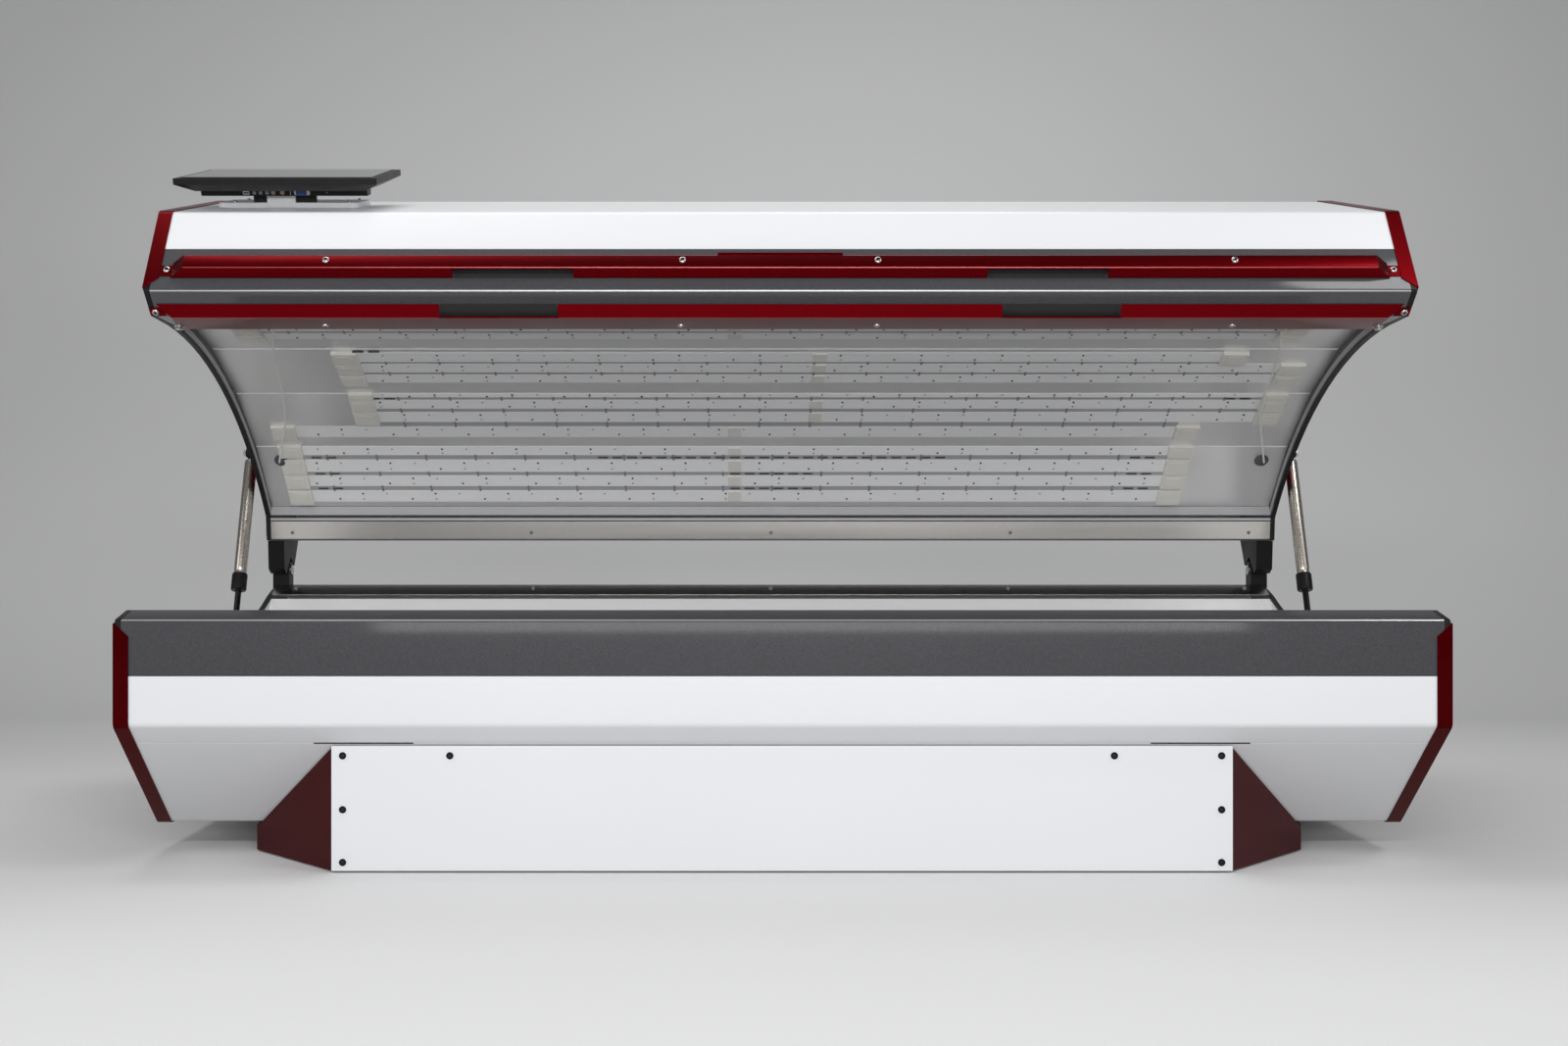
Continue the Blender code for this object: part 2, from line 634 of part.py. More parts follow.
def build_fan(pan, pan_z, base):
    """Cooling fan over a vent in the floor pan; the rotor turns on the frame's spindle."""
    middle = DEPTH / 2
    seat = pan_z + PAN_SHEET + FIT
    vent = turned("fan_vent", [(0, PAN_SHEET * 2), (FAN_BORE, PAN_SHEET * 2), (FAN_BORE, -PAN_SHEET),
                               (0, -PAN_SHEET)], "black_plastic", base, base.at(FAN_X, middle, pan_z))
    apply_tool(pan, vent, 'DIFFERENCE')
    reach = FAN_SIZE / 2
    square = [(-reach, -reach), (reach, -reach), (reach, reach), (-reach, reach)]
    place = base.at(FAN_X, middle, seat + FAN_HEIGHT / 2)
    frame = flat_plate("cooling_fan_frame", [square, round_outline((0, 0), FAN_BORE)], FAN_HEIGHT,
                       "black_plastic", base, (0, 0, 0), place)
    grip = (FAN_BORE + reach) / 2
    half = FAN_BRIDGE_WIDTH / 2
    low = (FAN_X - grip, middle - half, seat + FIT)
    high = (FAN_X + grip, middle + half, seat + FAN_BRIDGE)
    apply_tool(frame, box("fan_bridge", low, high, "black_plastic", base), 'UNION')
    spindle = [(0, FAN_HEIGHT - FIT), (FAN_SPINDLE, FAN_HEIGHT - FIT), (FAN_SPINDLE, FAN_BRIDGE - FIT),
               (FAN_HUB, FAN_BRIDGE - FIT), (FAN_HUB, FIT * 2), (0, FIT * 2)]
    hub = turned("fan_spindle", spindle, "black_plastic", base, base.at(FAN_X, middle, seat))
    apply_tool(frame, hub, 'UNION')
    pivot = add_empty("fan_pivot", base.at(FAN_X, middle, seat), 0.0)
    spin = Carrier(pivot, 0, 0)
    tip = FAN_BORE - FAN_TIP_GAP
    pitch = math.tau / FAN_BLADES
    outline = []
    for blade in range(FAN_BLADES):
        start = blade * pitch
        outline += round_outline((0, 0), FAN_HUB, 2, start, pitch * BLADE_ROOT)
        outline += round_outline((0, 0), tip, 3, start + pitch * BLADE_SWEEP, pitch * BLADE_TIP)
    bore = round_outline((0, 0), FAN_SPINDLE + FAN_RUNNING_GAP)
    lift = FAN_BRIDGE + FAN_RUNNING_GAP + FAN_BLADE_HEIGHT / 2
    flat_plate("cooling_fan_rotor", [outline, bore], FAN_BLADE_HEIGHT, "black_plastic", spin, (0, 0, 0),
               (0, 0, lift))


def build_base_bed(base):
    """Clear trough, its steel retainer and the lamp panels below it."""
    arc = bed_arc(BASE_BED_CENTRE, -1, BASE_BED_INSET + FIT, BASE_BED_END - FIT)
    folded_sheet("base_acrylic", arc[::-1], -SPAN, SPAN, BED_SHEET, "clear_acrylic", base)
    toe = (BASE_BED_END + FIT, BASE_BED_Z + RETAINER_SHEET)
    brow = (BASE_BED_END + RETAINER_RUN, BASE_RIM_Z + RETAINER_RISE)
    heel = brow[0] + RETAINER_TOP
    path = [(heel, BASE_RIM_Z + FIT), (heel, brow[1]), brow, toe]
    folded_sheet("base_rear_retainer", path, -SPAN, SPAN, RETAINER_SHEET, "polished_steel", base)
    lamp_panels("base", BASE_BED_CENTRE, -1, BASE_LAMP_INSET, DEPTH - BASE_LAMP_INSET, base)


def build_base_ends(base):
    """End panels with the struts' lower studs, and the red caps over them."""
    foot = HINGE + Vector(STRUT_FOOT)
    rear_rim = [*mirrored([BASE_RIM]), Vector((BASE_BED_END + RETAINER_RUN, BASE_RIM_Z))]
    trough = bed_arc(BASE_BED_CENTRE, -1, BASE_BED_INSET, BASE_BED_END)[::-1]
    outline = BASE_NOSE + fillet(BASE_SKIN, BEND_RADIUS - SKIN)[1:-1] + mirrored(BASE_NOSE)
    outline += rear_rim + trough + [BASE_RIM]
    path = list(BASE_CORNERS)
    path[0] = (0, BASE_NOSE_Z - CAP_NOSE_GAP)
    path[-1] = (DEPTH, BASE_NOSE_Z - CAP_NOSE_GAP)
    path = fillet(path, BEND_RADIUS)
    edge = bed_arc(BASE_BED_CENTRE, -1, BASE_BED_INSET, BASE_BED_END, BED_RADIUS + CAP_EDGE)[::-1]
    shoulder = BASE_RIM_Z - CAP_EDGE
    closing = [Vector((DEPTH - RIM_DEPTH, shoulder)), *edge, Vector((RIM_DEPTH, shoulder))]
    for side, hand in ((-1, "left"), (1, "right")):
        x_middle = side * (PANEL_OUT - END_PANEL / 2)
        panel = side_plate(f"base_end_panel_{hand}", [outline], x_middle, END_PANEL, "graphite_enamel", base)
        apply_tool(panel, stud_tool(f"foot_stud_{hand}", side, FOOT_STUD_RADIUS, *foot, base), 'UNION')
        cap = end_cap(f"base_end_cap_{hand}", path, closing, side, base)
        hole = round_bar(f"foot_hole_{hand}", FOOT_STUD_RADIUS + CAP_HOLE_FIT, side * HALF - FLANGE,
                         side * HALF + FLANGE, *foot, "candy_red", base)
        apply_tool(cap, hole, 'DIFFERENCE')


def build_canopy_covers(canopy):
    """White shell, graphite nose trim and the rear rail."""
    rear_foot, rear_bend, rear_top, top, bend, nose = CANOPY_SKIN
    trim_top = CANOPY_NOSE_Z + TRIM_HEIGHT
    lap = top.x + CANOPY_TOP_LAP
    radius = BEND_RADIUS - SKIN
    shell = fillet([(lap, top.y), top, bend, (nose.x, trim_top + PANEL_JOINT)], radius)
    folded_sheet("canopy_front_fascia", shell, -SPAN, SPAN, SHEET, "white_enamel", canopy)
    rear_edge = (rear_foot.x, rear_foot.y + RAIL_SHEET + FIT)
    cover = fillet([rear_edge, rear_bend, rear_top, (lap + PANEL_JOINT, top.y)], radius)
    folded_sheet("canopy_top_cover", cover, -SPAN, SPAN, SHEET, "white_enamel", canopy)
    edge = CANOPY_BED_INSET - bed_edge_lean(CANOPY_BED_CENTRE, CANOPY_BED_INSET) - FIT
    trim = [(nose.x + TRIM_RETURN, trim_top), (nose.x, trim_top), *CANOPY_NOSE, CANOPY_RIM,
            (edge, CANOPY_BED_FRONT.y), (edge, CANOPY_BED_FRONT.y + TRIM_HEM)]
    folded_sheet("canopy_nose_trim", trim, -SPAN, SPAN, SHEET, "graphite_enamel", canopy)
    rail = [along(SILL, rear_foot, FIT), rear_foot]
    folded_sheet("canopy_rear_rail", rail, -SPAN, SPAN, RAIL_SHEET, "graphite_enamel", canopy)
    under = top.y - SHEET - FIT
    middle = DEPTH / 2
    low = (DRIVER_X - DRIVER_SIZE[0] / 2, middle - DRIVER_SIZE[1] / 2, under - DRIVER_SIZE[2])
    high = (low[0] + DRIVER_SIZE[0], low[1] + DRIVER_SIZE[1], under)
    box("canopy_lamp_driver", low, high, "galvanised_steel", canopy, DRIVER_EDGE)


def build_canopy_bed(canopy):
    """Clear arch, its steel retainer, the lamp panels above it and the leads at their ends."""
    arc = bed_arc(CANOPY_BED_CENTRE, 1, CANOPY_BED_INSET, CANOPY_BED_END)
    folded_sheet("canopy_acrylic", arc, -SPAN, SPAN, BED_SHEET, "clear_acrylic", canopy)
    path = [along(CANOPY_BED_BACK, SILL, FIT * 2), along(SILL, CANOPY_BED_BACK, RAIL_SHEET + FIT * 2)]
    folded_sheet("canopy_rear_retainer", path, -SPAN, SPAN, RETAINER_SHEET, "polished_steel", canopy)
    lamp_panels("canopy", CANOPY_LAMP_CENTRE, 1, CANOPY_LAMP_INSET, DEPTH - CANOPY_LAMP_REAR, canopy)
    radius = BED_RADIUS + BED_SHEET + FIT + LEAD_RADIUS
    for side, hand in ((-1, "left"), (1, "right")):
        lead = bpy.data.curves.new(f"canopy_lead_{hand}", 'CURVE')
        lead.dimensions = '3D'
        lead.bevel_depth = LEAD_RADIUS
        lead.bevel_resolution = 1
        lead.use_fill_caps = True
        spline = lead.splines.new('POLY')
        route = smooth_route(LEAD_ROUTE, LEAD_STEPS)
        spline.points.add(len(route) - 1)
        for point, (depth, end_gap) in zip(spline.points, route):
            height = CANOPY_BED_CENTRE.y + math.sqrt(radius**2 - (depth - CANOPY_BED_CENTRE.x)**2)
            point.co = (*canopy.at(side * (HALF - end_gap), depth, height), 1)
        add_object(f"canopy_lead_{hand}", lead, "white_cable", canopy)


def smooth_route(points, steps):
    """A smooth curve through a route's points."""
    route = [Vector(point) for point in points]
    padded = [route[0]] + route + [route[-1]]
    smooth = []
    for a, b, c, d in zip(padded, padded[1:], padded[2:], padded[3:]):
        for step in range(steps):
            t = step / steps
            smooth.append(b + (c - a) * t / 2 + (a - b * 2.5 + c * 2 - d / 2) * t**2
                          + (b * 1.5 - a / 2 - c * 1.5 + d / 2) * t**3)
    return smooth + [route[-1]]


def build_canopy_ends(canopy):
    """End panels with the struts' upper studs, and the red caps over them."""
    head = HINGE + Vector(STRUT_HEAD)
    arch = bed_arc(CANOPY_BED_CENTRE, 1, CANOPY_BED_INSET, CANOPY_BED_END)
    outline = fillet(CANOPY_SKIN, BEND_RADIUS - SKIN)[:-1] + CANOPY_NOSE + [CANOPY_RIM, *arch, Vector(SILL)]
    path = list(CANOPY_CORNERS)
    path[0] = (DEPTH, CANOPY_REAR_Z + CAP_NOSE_GAP)
    path[-1] = (0, CANOPY_NOSE_Z + CAP_NOSE_GAP)
    path = fillet(path, BEND_RADIUS)
    edge = bed_arc(CANOPY_BED_CENTRE, 1, CANOPY_BED_INSET, CANOPY_BED_END, BED_RADIUS + CAP_EDGE)
    closing = [CANOPY_RIM + Vector((0, CAP_EDGE)), *edge, Vector(SILL) + Vector((0, CAP_EDGE))]
    for side, hand in ((-1, "left"), (1, "right")):
        x_middle = side * (PANEL_OUT - END_PANEL / 2)
        panel = side_plate(f"canopy_end_panel_{hand}", [outline], x_middle, END_PANEL, "graphite_enamel",
                           canopy)
        apply_tool(panel, stud_tool(f"head_stud_{hand}", side, HEAD_STUD_RADIUS, *head, canopy), 'UNION')
        cap = end_cap(f"canopy_end_cap_{hand}", path, closing, side, canopy)
        hole = round_bar(f"head_hole_{hand}", HEAD_STUD_RADIUS + CAP_HOLE_FIT, side * HALF - FLANGE,
                         side * HALF + FLANGE, *head, "candy_red", canopy)
        apply_tool(cap, hole, 'DIFFERENCE')


def build_hinges(base, canopy):
    """Clevis brackets with their pins on the base's deck, and the canopy's arms."""
    deck = BASE_RIM_Z + FIT
    lobe = round_outline(HINGE, HINGE_RADIUS, LOBE_STEPS, 0.0, math.pi)
    upright = [Vector((HINGE.x + HINGE_RADIUS, deck)), *lobe, Vector((HINGE.x - HINGE_RADIUS, deck))]
    slot_half = TONGUE_WIDTH / 2 + FIT
    tongue = round_outline(HINGE, HINGE_RADIUS, LOBE_STEPS, math.pi, math.pi)
    rail_foot = CANOPY_SKIN[0]
    slope = (rail_foot.y - SILL[1]) / (rail_foot.x - SILL[0])
    shoulder = HINGE.y + HINGE_RADIUS + ARM_OVERLAP
    tongue += [Vector((HINGE.x + HINGE_RADIUS, shoulder)), Vector((HINGE.x - HINGE_RADIUS, shoulder))]
    block = []
    for depth in (HINGE.x + ARM_HALF_DEPTH, SILL[0] + ARM_SILL_GAP):
        block.append(Vector((depth, SILL[1] + (depth - SILL[0]) * slope - FIT * 2)))
    toe = HINGE + Vector(ARM_TOE)
    block += [toe, toe + Vector((ARM_TOE_WIDTH, 0))]
    block.append(Vector((HINGE.x - ARM_HALF_DEPTH, HINGE.y + HINGE_RADIUS + ARM_GAP)))
    block.append(Vector((HINGE.x + ARM_HALF_DEPTH, HINGE.y + HINGE_RADIUS + ARM_GAP)))
    for side, hand in ((-1, "left"), (1, "right")):
        x = side * HINGE_X
        bracket = side_plate(f"hinge_bracket_{hand}", [upright], x, HINGE_WIDTH, "black_steel", base)
        low = (x - slot_half, HINGE.x - HINGE_RADIUS * 2, deck + HINGE_FOOT)
        high = (x + slot_half, HINGE.x + HINGE_RADIUS * 2, HINGE.y + HINGE_RADIUS * 2)
        apply_tool(bracket, box(f"clevis_slot_{hand}", low, high, "black_steel", base), 'DIFFERENCE')
        cheek = (HINGE_WIDTH / 2 + slot_half) / 2
        pin = round_bar(f"hinge_pin_{hand}", PIN_RADIUS, x - cheek, x + cheek, *HINGE, "polished_steel", base)
        apply_tool(bracket, pin, 'UNION')
        arm = side_plate(f"hinge_arm_{hand}", [block], x, HINGE_WIDTH, "black_steel", canopy)
        leaf = side_plate(f"arm_tongue_{hand}", [tongue], x, TONGUE_WIDTH, "black_steel", canopy)
        apply_tool(arm, leaf, 'UNION')
        bore = round_bar(f"arm_bore_{hand}", PIN_RADIUS + FIT, x - HINGE_WIDTH, x + HINGE_WIDTH, *HINGE,
                         "black_steel", canopy)
        apply_tool(arm, bore, 'DIFFERENCE')


def build_struts():
    """Gas struts outside the end caps: a rod on the base's stud and a tube on the canopy's stud."""
    foot = HINGE + Vector(STRUT_FOOT)
    head = opened(HINGE + Vector(STRUT_HEAD))
    reach = (head - foot).length
    lean = math.atan2(head.y - foot.y, head.x - foot.x) - math.pi / 2
    shoulder = reach - STUD_HEAD_RADIUS - HEAD_EYE_FIT * 2
    neck = reach - EYE_ROOT
    rod_end = ROD_SHOWING + ROD_INSIDE
    bore = ROD_RADIUS + ROD_FIT
    bore_end = shoulder - COLLAR_LENGTH
    tube = [(0, neck), (NECK_RADIUS, neck), (NECK_RADIUS, shoulder), (TUBE_RADIUS, shoulder),
            (TUBE_RADIUS, ROD_SHOWING + COLLAR_LENGTH),
            (COLLAR_RADIUS, ROD_SHOWING + COLLAR_LENGTH), (COLLAR_RADIUS, ROD_SHOWING), (bore, ROD_SHOWING),
            (bore, bore_end), (0, bore_end)]
    rod = [(0, rod_end), (ROD_RADIUS, rod_end), (ROD_RADIUS, EYE_ROOT), (0, EYE_ROOT)]
    for side, hand in ((-1, "left"), (1, "right")):
        place = Vector((side * STRUT_X, FRONT_Y + foot.x, foot.y))
        strut = Carrier(add_empty(f"strut_pivot_{hand}", place, lean), 0, 0)
        half = EYE_WIDTH / 2
        lower = round_bar(f"strut_rod_{hand}", EYE_RADIUS, -half, half, 0, 0, "black_steel", strut)
        apply_tool(lower, turned(f"rod_shaft_{hand}", rod, "black_steel", strut, (0, 0, 0)), 'UNION')
        lower_bore = round_bar(f"rod_bore_{hand}", FOOT_STUD_RADIUS + EYE_FIT, -EYE_WIDTH, EYE_WIDTH, 0, 0,
                               "black_steel", strut)
        apply_tool(lower, lower_bore, 'DIFFERENCE')
        upper = turned(f"strut_cylinder_{hand}", tube, "brushed_nickel", strut, (0, 0, 0))
        eye = round_bar(f"cylinder_eye_{hand}", EYE_RADIUS, -half, half, 0, reach, "black_steel", strut)
        apply_tool(upper, eye, 'UNION')
        upper_bore = round_bar(f"cylinder_bore_{hand}", HEAD_STUD_RADIUS + HEAD_EYE_FIT, -EYE_WIDTH,
                               EYE_WIDTH, 0, reach, "black_steel", strut)
        apply_tool(upper, upper_bore, 'DIFFERENCE')


def grip_rail(name, corners, half, closed, cut, cut_zone, canopy):
    """A folded grip rail whose ends lean in towards its front, with two finger cut-outs."""
    path = fillet(corners, GRIP_FOLD)
    chord = (path[-1] - path[0]).normalized()
    lifts = [abs(chord.cross(point - path[0])) for point in path]
    reaches = [half - GRIP_END_BEVEL * lift / max(lifts) for lift in lifts]
    bm = bmesh.new()
    rows = [[bm.verts.new(canopy.at(side * reach, *point)) for side in (-1, 1)]
            for point, reach in zip(path, reaches)]
    for first, second in zip(rows, rows[1:]):
        bm.faces.new((first[0], second[0], second[1], first[1]))
    if closed:
        bm.faces.new([row[0] for row in reversed(rows)])
        bm.faces.new([row[1] for row in rows])
    rail = add_object(name, mesh_from(name, bm), "candy_red", canopy)
    thicken(rail, GRIP_SHEET)
    for side in (-1, 1):
        low = (min(side * cut[0], side * cut[1]), *cut_zone[0])
        high = (max(side * cut[0], side * cut[1]), *cut_zone[1])
        apply_tool(rail, box(f"{name}_cut_{side}", low, high, "candy_red", canopy), 'DIFFERENCE')
    return rail


def build_grips(canopy):
    """Red grip rails along the canopy's front face and under its rim."""
    face = CANOPY_SKIN[-1].x - FIT
    root = face - GRIP_SHEET
    front = root - GRIP_REACH
    nose = CANOPY_NOSE_Z
    apex = nose + UPPER_GRIP_APEX
    upper = [(root, nose + UPPER_GRIP_BACK), (front, nose + UPPER_GRIP_TOP), (front, apex),
             (root, nose + UPPER_GRIP_FOOT)]
    zone = ((front + GRIP_CUT_MARGIN, nose), (face + GRIP_REACH, apex + GRIP_CUT_MARGIN))
    rail = grip_rail("handle_rail_upper", upper, UPPER_GRIP_HALF, True, UPPER_CUT, zone, canopy)
    for side in (-1, 1):
        ends = sorted(side * (UPPER_GRIP_HALF + reach) for reach in (-GRIP_TAB_LAP, GRIP_TAB_REACH))
        low = (ends[0], root, nose + GRIP_TAB_FOOT)
        high = (ends[1], face, nose + GRIP_TAB_TOP)
        apply_tool(rail, box(f"grip_tab_{side}", low, high, "candy_red", canopy), 'UNION')
    rim = CANOPY_RIM
    corner = Vector((CANOPY_SKIN[-1].x, nose))
    start = (corner + rim) / 2
    chamfer = (rim - corner).normalized()
    off = Vector((chamfer.y, -chamfer.x)) * (FIT + GRIP_SHEET)
    radius = BED_RADIUS - FIT * 2 - GRIP_SHEET
    heel = bed_arc(CANOPY_BED_CENTRE, 1, CANOPY_BED_INSET + LOWER_GRIP_LAP, CANOPY_BED_END, radius)[0]
    under = bed_arc(CANOPY_BED_CENTRE, 1, CANOPY_BED_INSET, CANOPY_BED_END, radius)[0]
    lead = rim.x - LOWER_GRIP_LEAD
    below_sheet = under.y - (under.x - lead) * (heel.y - under.y) / (heel.x - under.x)
    tip = Vector((lead, min(rim.y - LOWER_GRIP_DROP, below_sheet)))
    zone = ((start.x - GRIP_REACH, tip.y - GRIP_REACH), (tip.x - GRIP_CUT_EDGE, start.y + LOWER_CUT_RISE))
    grip_rail("handle_rail_lower", [start + off, tip, heel], LOWER_GRIP_HALF, False, LOWER_CUT, zone, canopy)


def build_screen(canopy):
    """Touch screen on a stand on the canopy's front slope, tilting on the stand's barrel."""
    bend = Vector((0, CANOPY_BEND_Z))
    slope = math.atan2(CANOPY_SLOPE_RISE, CANOPY_SLOPE_RUN)
    slope_pivot = add_empty("slope_pivot", canopy.at(0, *bend), slope, canopy.pivot)
    stand = Carrier(slope_pivot, 0, 0)
    middle = -HALF + SCREEN_LEFT + SCREEN_WIDTH / 2
    seat = FIT - SKIN
    half, front = STAND_WIDTH / 2, STAND_BACKSET
    corners = [(middle - half, front), (middle + half, front), (middle + half, front + STAND_DEPTH),
               (middle - half, front + STAND_DEPTH)]
    outline = fillet([corners[-1], *corners, corners[0]], STAND_CORNER)[1:-1]
    plate = flat_plate("screen_stand", [outline], STAND_SHEET, "white_enamel", stand, (0, 0, 0),
                       (0, 0, seat + STAND_SHEET / 2))
    axis = Vector((front + BLOCK_INSET + BLOCK_DEPTH / 2, seat + BARREL_HEIGHT))
    low = (middle - BLOCK_WIDTH / 2, front + BLOCK_INSET, seat + STAND_SHEET / 2)
    high = (middle + BLOCK_WIDTH / 2, front + BLOCK_INSET + BLOCK_DEPTH, axis.y - BLOCK_DROP)
    apply_tool(plate, box("stand_block", low, high, "white_enamel", stand), 'UNION')
    reach = BLOCK_WIDTH / 2 + LUG_GAP / 2
    pin_end = reach + LUG_GAP + LUG_WIDTH
    barrel = [(0, pin_end), (BARREL_PIN_RADIUS, pin_end), (BARREL_PIN_RADIUS, reach), (BARREL_RADIUS, reach)]
    barrel += [(radius, -height) for radius, height in reversed(barrel)]
    sideways = (0, math.pi / 2, 0)
    knuckle = turned("stand_barrel", barrel, "white_enamel", stand, stand.at(middle, *axis), sideways)
    apply_tool(plate, knuckle, 'UNION')
    pivot = add_empty("screen_pivot", stand.at(middle, *axis), SCREEN_TILT, slope_pivot)
    screen = Carrier(pivot, axis.x, axis.y)
    back = SCREEN_LIFT
    housing = build_housing(screen, back)
    for side in (-1, 1):
        x = side * (reach + LUG_GAP + LUG_WIDTH / 2)
        lug = round_outline(axis, BARREL_RADIUS, LOBE_STEPS, math.pi, math.pi)
        lug += [Vector((axis.x + BARREL_RADIUS, back + SCREEN_BACK / 2)),
                Vector((axis.x - BARREL_RADIUS, back + SCREEN_BACK / 2))]
        ear = side_plate(f"screen_lug_{side}", [lug], x, LUG_WIDTH, "black_plastic", screen)
        apply_tool(housing, ear, 'UNION')
    bore = round_bar("lug_bore", BARREL_PIN_RADIUS + FIT, -pin_end * 2, pin_end * 2, *axis, "black_plastic",
                     screen)
    apply_tool(housing, bore, 'DIFFERENCE')
    glass_low = (-SCREEN_WIDTH / 2 + SCREEN_BEZEL, SCREEN_FRONT + SCREEN_BEZEL,
                 back + SCREEN_BACK + SCREEN_RIM + FIT)
    glass_high = (SCREEN_WIDTH / 2 - SCREEN_BEZEL, SCREEN_FRONT + SCREEN_DEPTH - SCREEN_BEZEL,
                  glass_low[2] + SCREEN_GLASS)
    box("screen_glass", glass_low, glass_high, "dark_glass", screen)


def build_housing(screen, back):
    """Screen housing: a flat rim with a back that tapers to a smaller plate."""
    bm = bmesh.new()
    bmesh.ops.create_cube(bm, size=1)
    low = screen.at(-SCREEN_WIDTH / 2, SCREEN_FRONT, back + SCREEN_BACK)
    high = screen.at(SCREEN_WIDTH / 2, SCREEN_FRONT + SCREEN_DEPTH, back + SCREEN_BACK + SCREEN_RIM)
    for vert in bm.verts:
        vert.co = [low[i] + (high[i] - low[i]) * (vert.co[i] + 0.5) for i in range(3)]
    bm.faces.ensure_lookup_table()
    under = min(bm.faces, key=lambda face: face.calc_center_median().z)
    raised = bmesh.ops.extrude_discrete_faces(bm, faces=[under])["faces"][0]
    centre = raised.calc_center_median()
    for vert in raised.verts:
        vert.co.x -= math.copysign(SCREEN_BACK_INSET, vert.co.x - centre.x)
        vert.co.y -= math.copysign(SCREEN_BACK_INSET, vert.co.y - centre.y)
        vert.co.z -= SCREEN_BACK
    return add_object("screen_housing", mesh_from("screen_housing", bm), "black_plastic", screen)


def belly_under(depth):
    """Height of the base's underside at a depth, on either slope."""
    run = min(depth, DEPTH - depth)
    rise = max(0.0, 1 - run / BELLY_RUN) * BELLY_RISE
    return BELLY_HEIGHT + rise - WING_GAP


def wing_path():
    """Plan of a pedestal side: flange, front wing, side, rear wing, flange, as (x, depth)."""
    inner = PEDESTAL_SETBACK + PEDESTAL_SHEET + FIT
    share = (BELLY_RUN - inner) / (WING_SETBACK - inner)
    knee = PEDESTAL_HALF + (WING_HALF - PEDESTAL_HALF) * share
    front = [(PEDESTAL_HALF - WING_FLANGE, inner), (PEDESTAL_HALF, inner), (knee, BELLY_RUN),
             (WING_HALF, WING_SETBACK)]
    return front + [(x, DEPTH - depth) for x, depth in reversed(front)]


def build_pedestal(base):
    """Front and rear panels, bent red sides, the tube frame and its levelling feet."""
    panel_top = belly_under(PEDESTAL_SETBACK)
    for name, low_y in (("pedestal_front_panel", PEDESTAL_SETBACK),
                        ("pedestal_rear_panel", DEPTH - PEDESTAL_SETBACK - PEDESTAL_SHEET)):
        box(name, (-PEDESTAL_HALF, low_y, FLOOR_GAP), (PEDESTAL_HALF, low_y + PEDESTAL_SHEET, panel_top),
            "white_enamel", base)
    for side, hand in ((-1, "left"), (1, "right")):
        bm = bmesh.new()
        rows = []
        for x, depth in wing_path():
            top = min(belly_under(depth), panel_top)
            rows.append([bm.verts.new(base.at(side * x, depth, z)) for z in (FLOOR_GAP, top)])
        for first, second in zip(rows, rows[1:]):
            quad = (first[0], second[0], second[1], first[1])
            bm.faces.new(quad if side > 0 else quad[::-1])
        piece = add_object(f"pedestal_side_{hand}", mesh_from(f"pedestal_side_{hand}", bm), "candy_red", base)
        thicken(piece, CAP_SHEET)
    top = BASE_SKIN[2].y - FIT
    half_x = WING_HALF - CAP_SHEET - FIT
    near = FRAME_FRONT
    far = DEPTH - near
    outer = [(-half_x, near), (half_x, near), (half_x, far), (-half_x, far)]
    outlines = [outer]
    bars = (-half_x, -FRAME_CROSS_X - TUBE_WIDTH / 2, FRAME_CROSS_X - TUBE_WIDTH / 2, half_x - TUBE_WIDTH)
    for left, right in zip(bars, bars[1:]):
        low_x = left + TUBE_WIDTH
        outlines.append([(low_x, near + TUBE_WIDTH), (right, near + TUBE_WIDTH),
                         (right, far - TUBE_WIDTH), (low_x, far - TUBE_WIDTH)])
    height = top - FOOT_HEIGHT - FIT
    flat_plate("pedestal_frame", outlines, height, "black_steel", base, (0, 0, 0),
               base.at(0, 0, top - height / 2))
    foot = [(0, FOOT_HEIGHT), (FOOT_STEM, FOOT_HEIGHT), (FOOT_STEM, FOOT_PAD), (FOOT_RADIUS, FOOT_PAD),
            (FOOT_RADIUS, 0), (0, 0)]
    for x, hand in ((-half_x + FOOT_INSET, "left"), (half_x - FOOT_INSET, "right")):
        for depth, end in ((near + TUBE_WIDTH / 2, "front"), (far - TUBE_WIDTH / 2, "rear")):
            turned(f"levelling_foot_{end}_{hand}", foot, "black_plastic", base, base.at(x, depth, 0))


def main():
    clear_scene()
    new_collection("light_therapy_bed")
    new_collection("bed_cutters")
    base = Carrier(None, -FRONT_Y, 0)
    canopy = Carrier(add_empty("canopy_pivot", base.at(0, *HINGE), -OPEN_ANGLE), *HINGE)
    build_pedestal(base)
    build_base_covers(base)
    build_base_bed(base)
    build_base_ends(base)
    build_canopy_covers(canopy)
    build_canopy_bed(canopy)
    build_canopy_ends(canopy)
    build_hinges(base, canopy)
    build_grips(canopy)
    build_screen(canopy)
    build_struts()
    bpy.context.view_layer.update()


main()
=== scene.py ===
"""Looks of the clamshell light-therapy bed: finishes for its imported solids, and the small pieces on them.

Metres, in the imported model's frame. Places are drawn as (x, depth, height): depth is measured back from
the front face, height up from the floor, and places on the canopy are drawn closed and then opened.
"""
import json
import math

import bmesh
import bpy
from bpy.props import FloatProperty, FloatVectorProperty, PointerProperty
from mathutils import Matrix, Vector


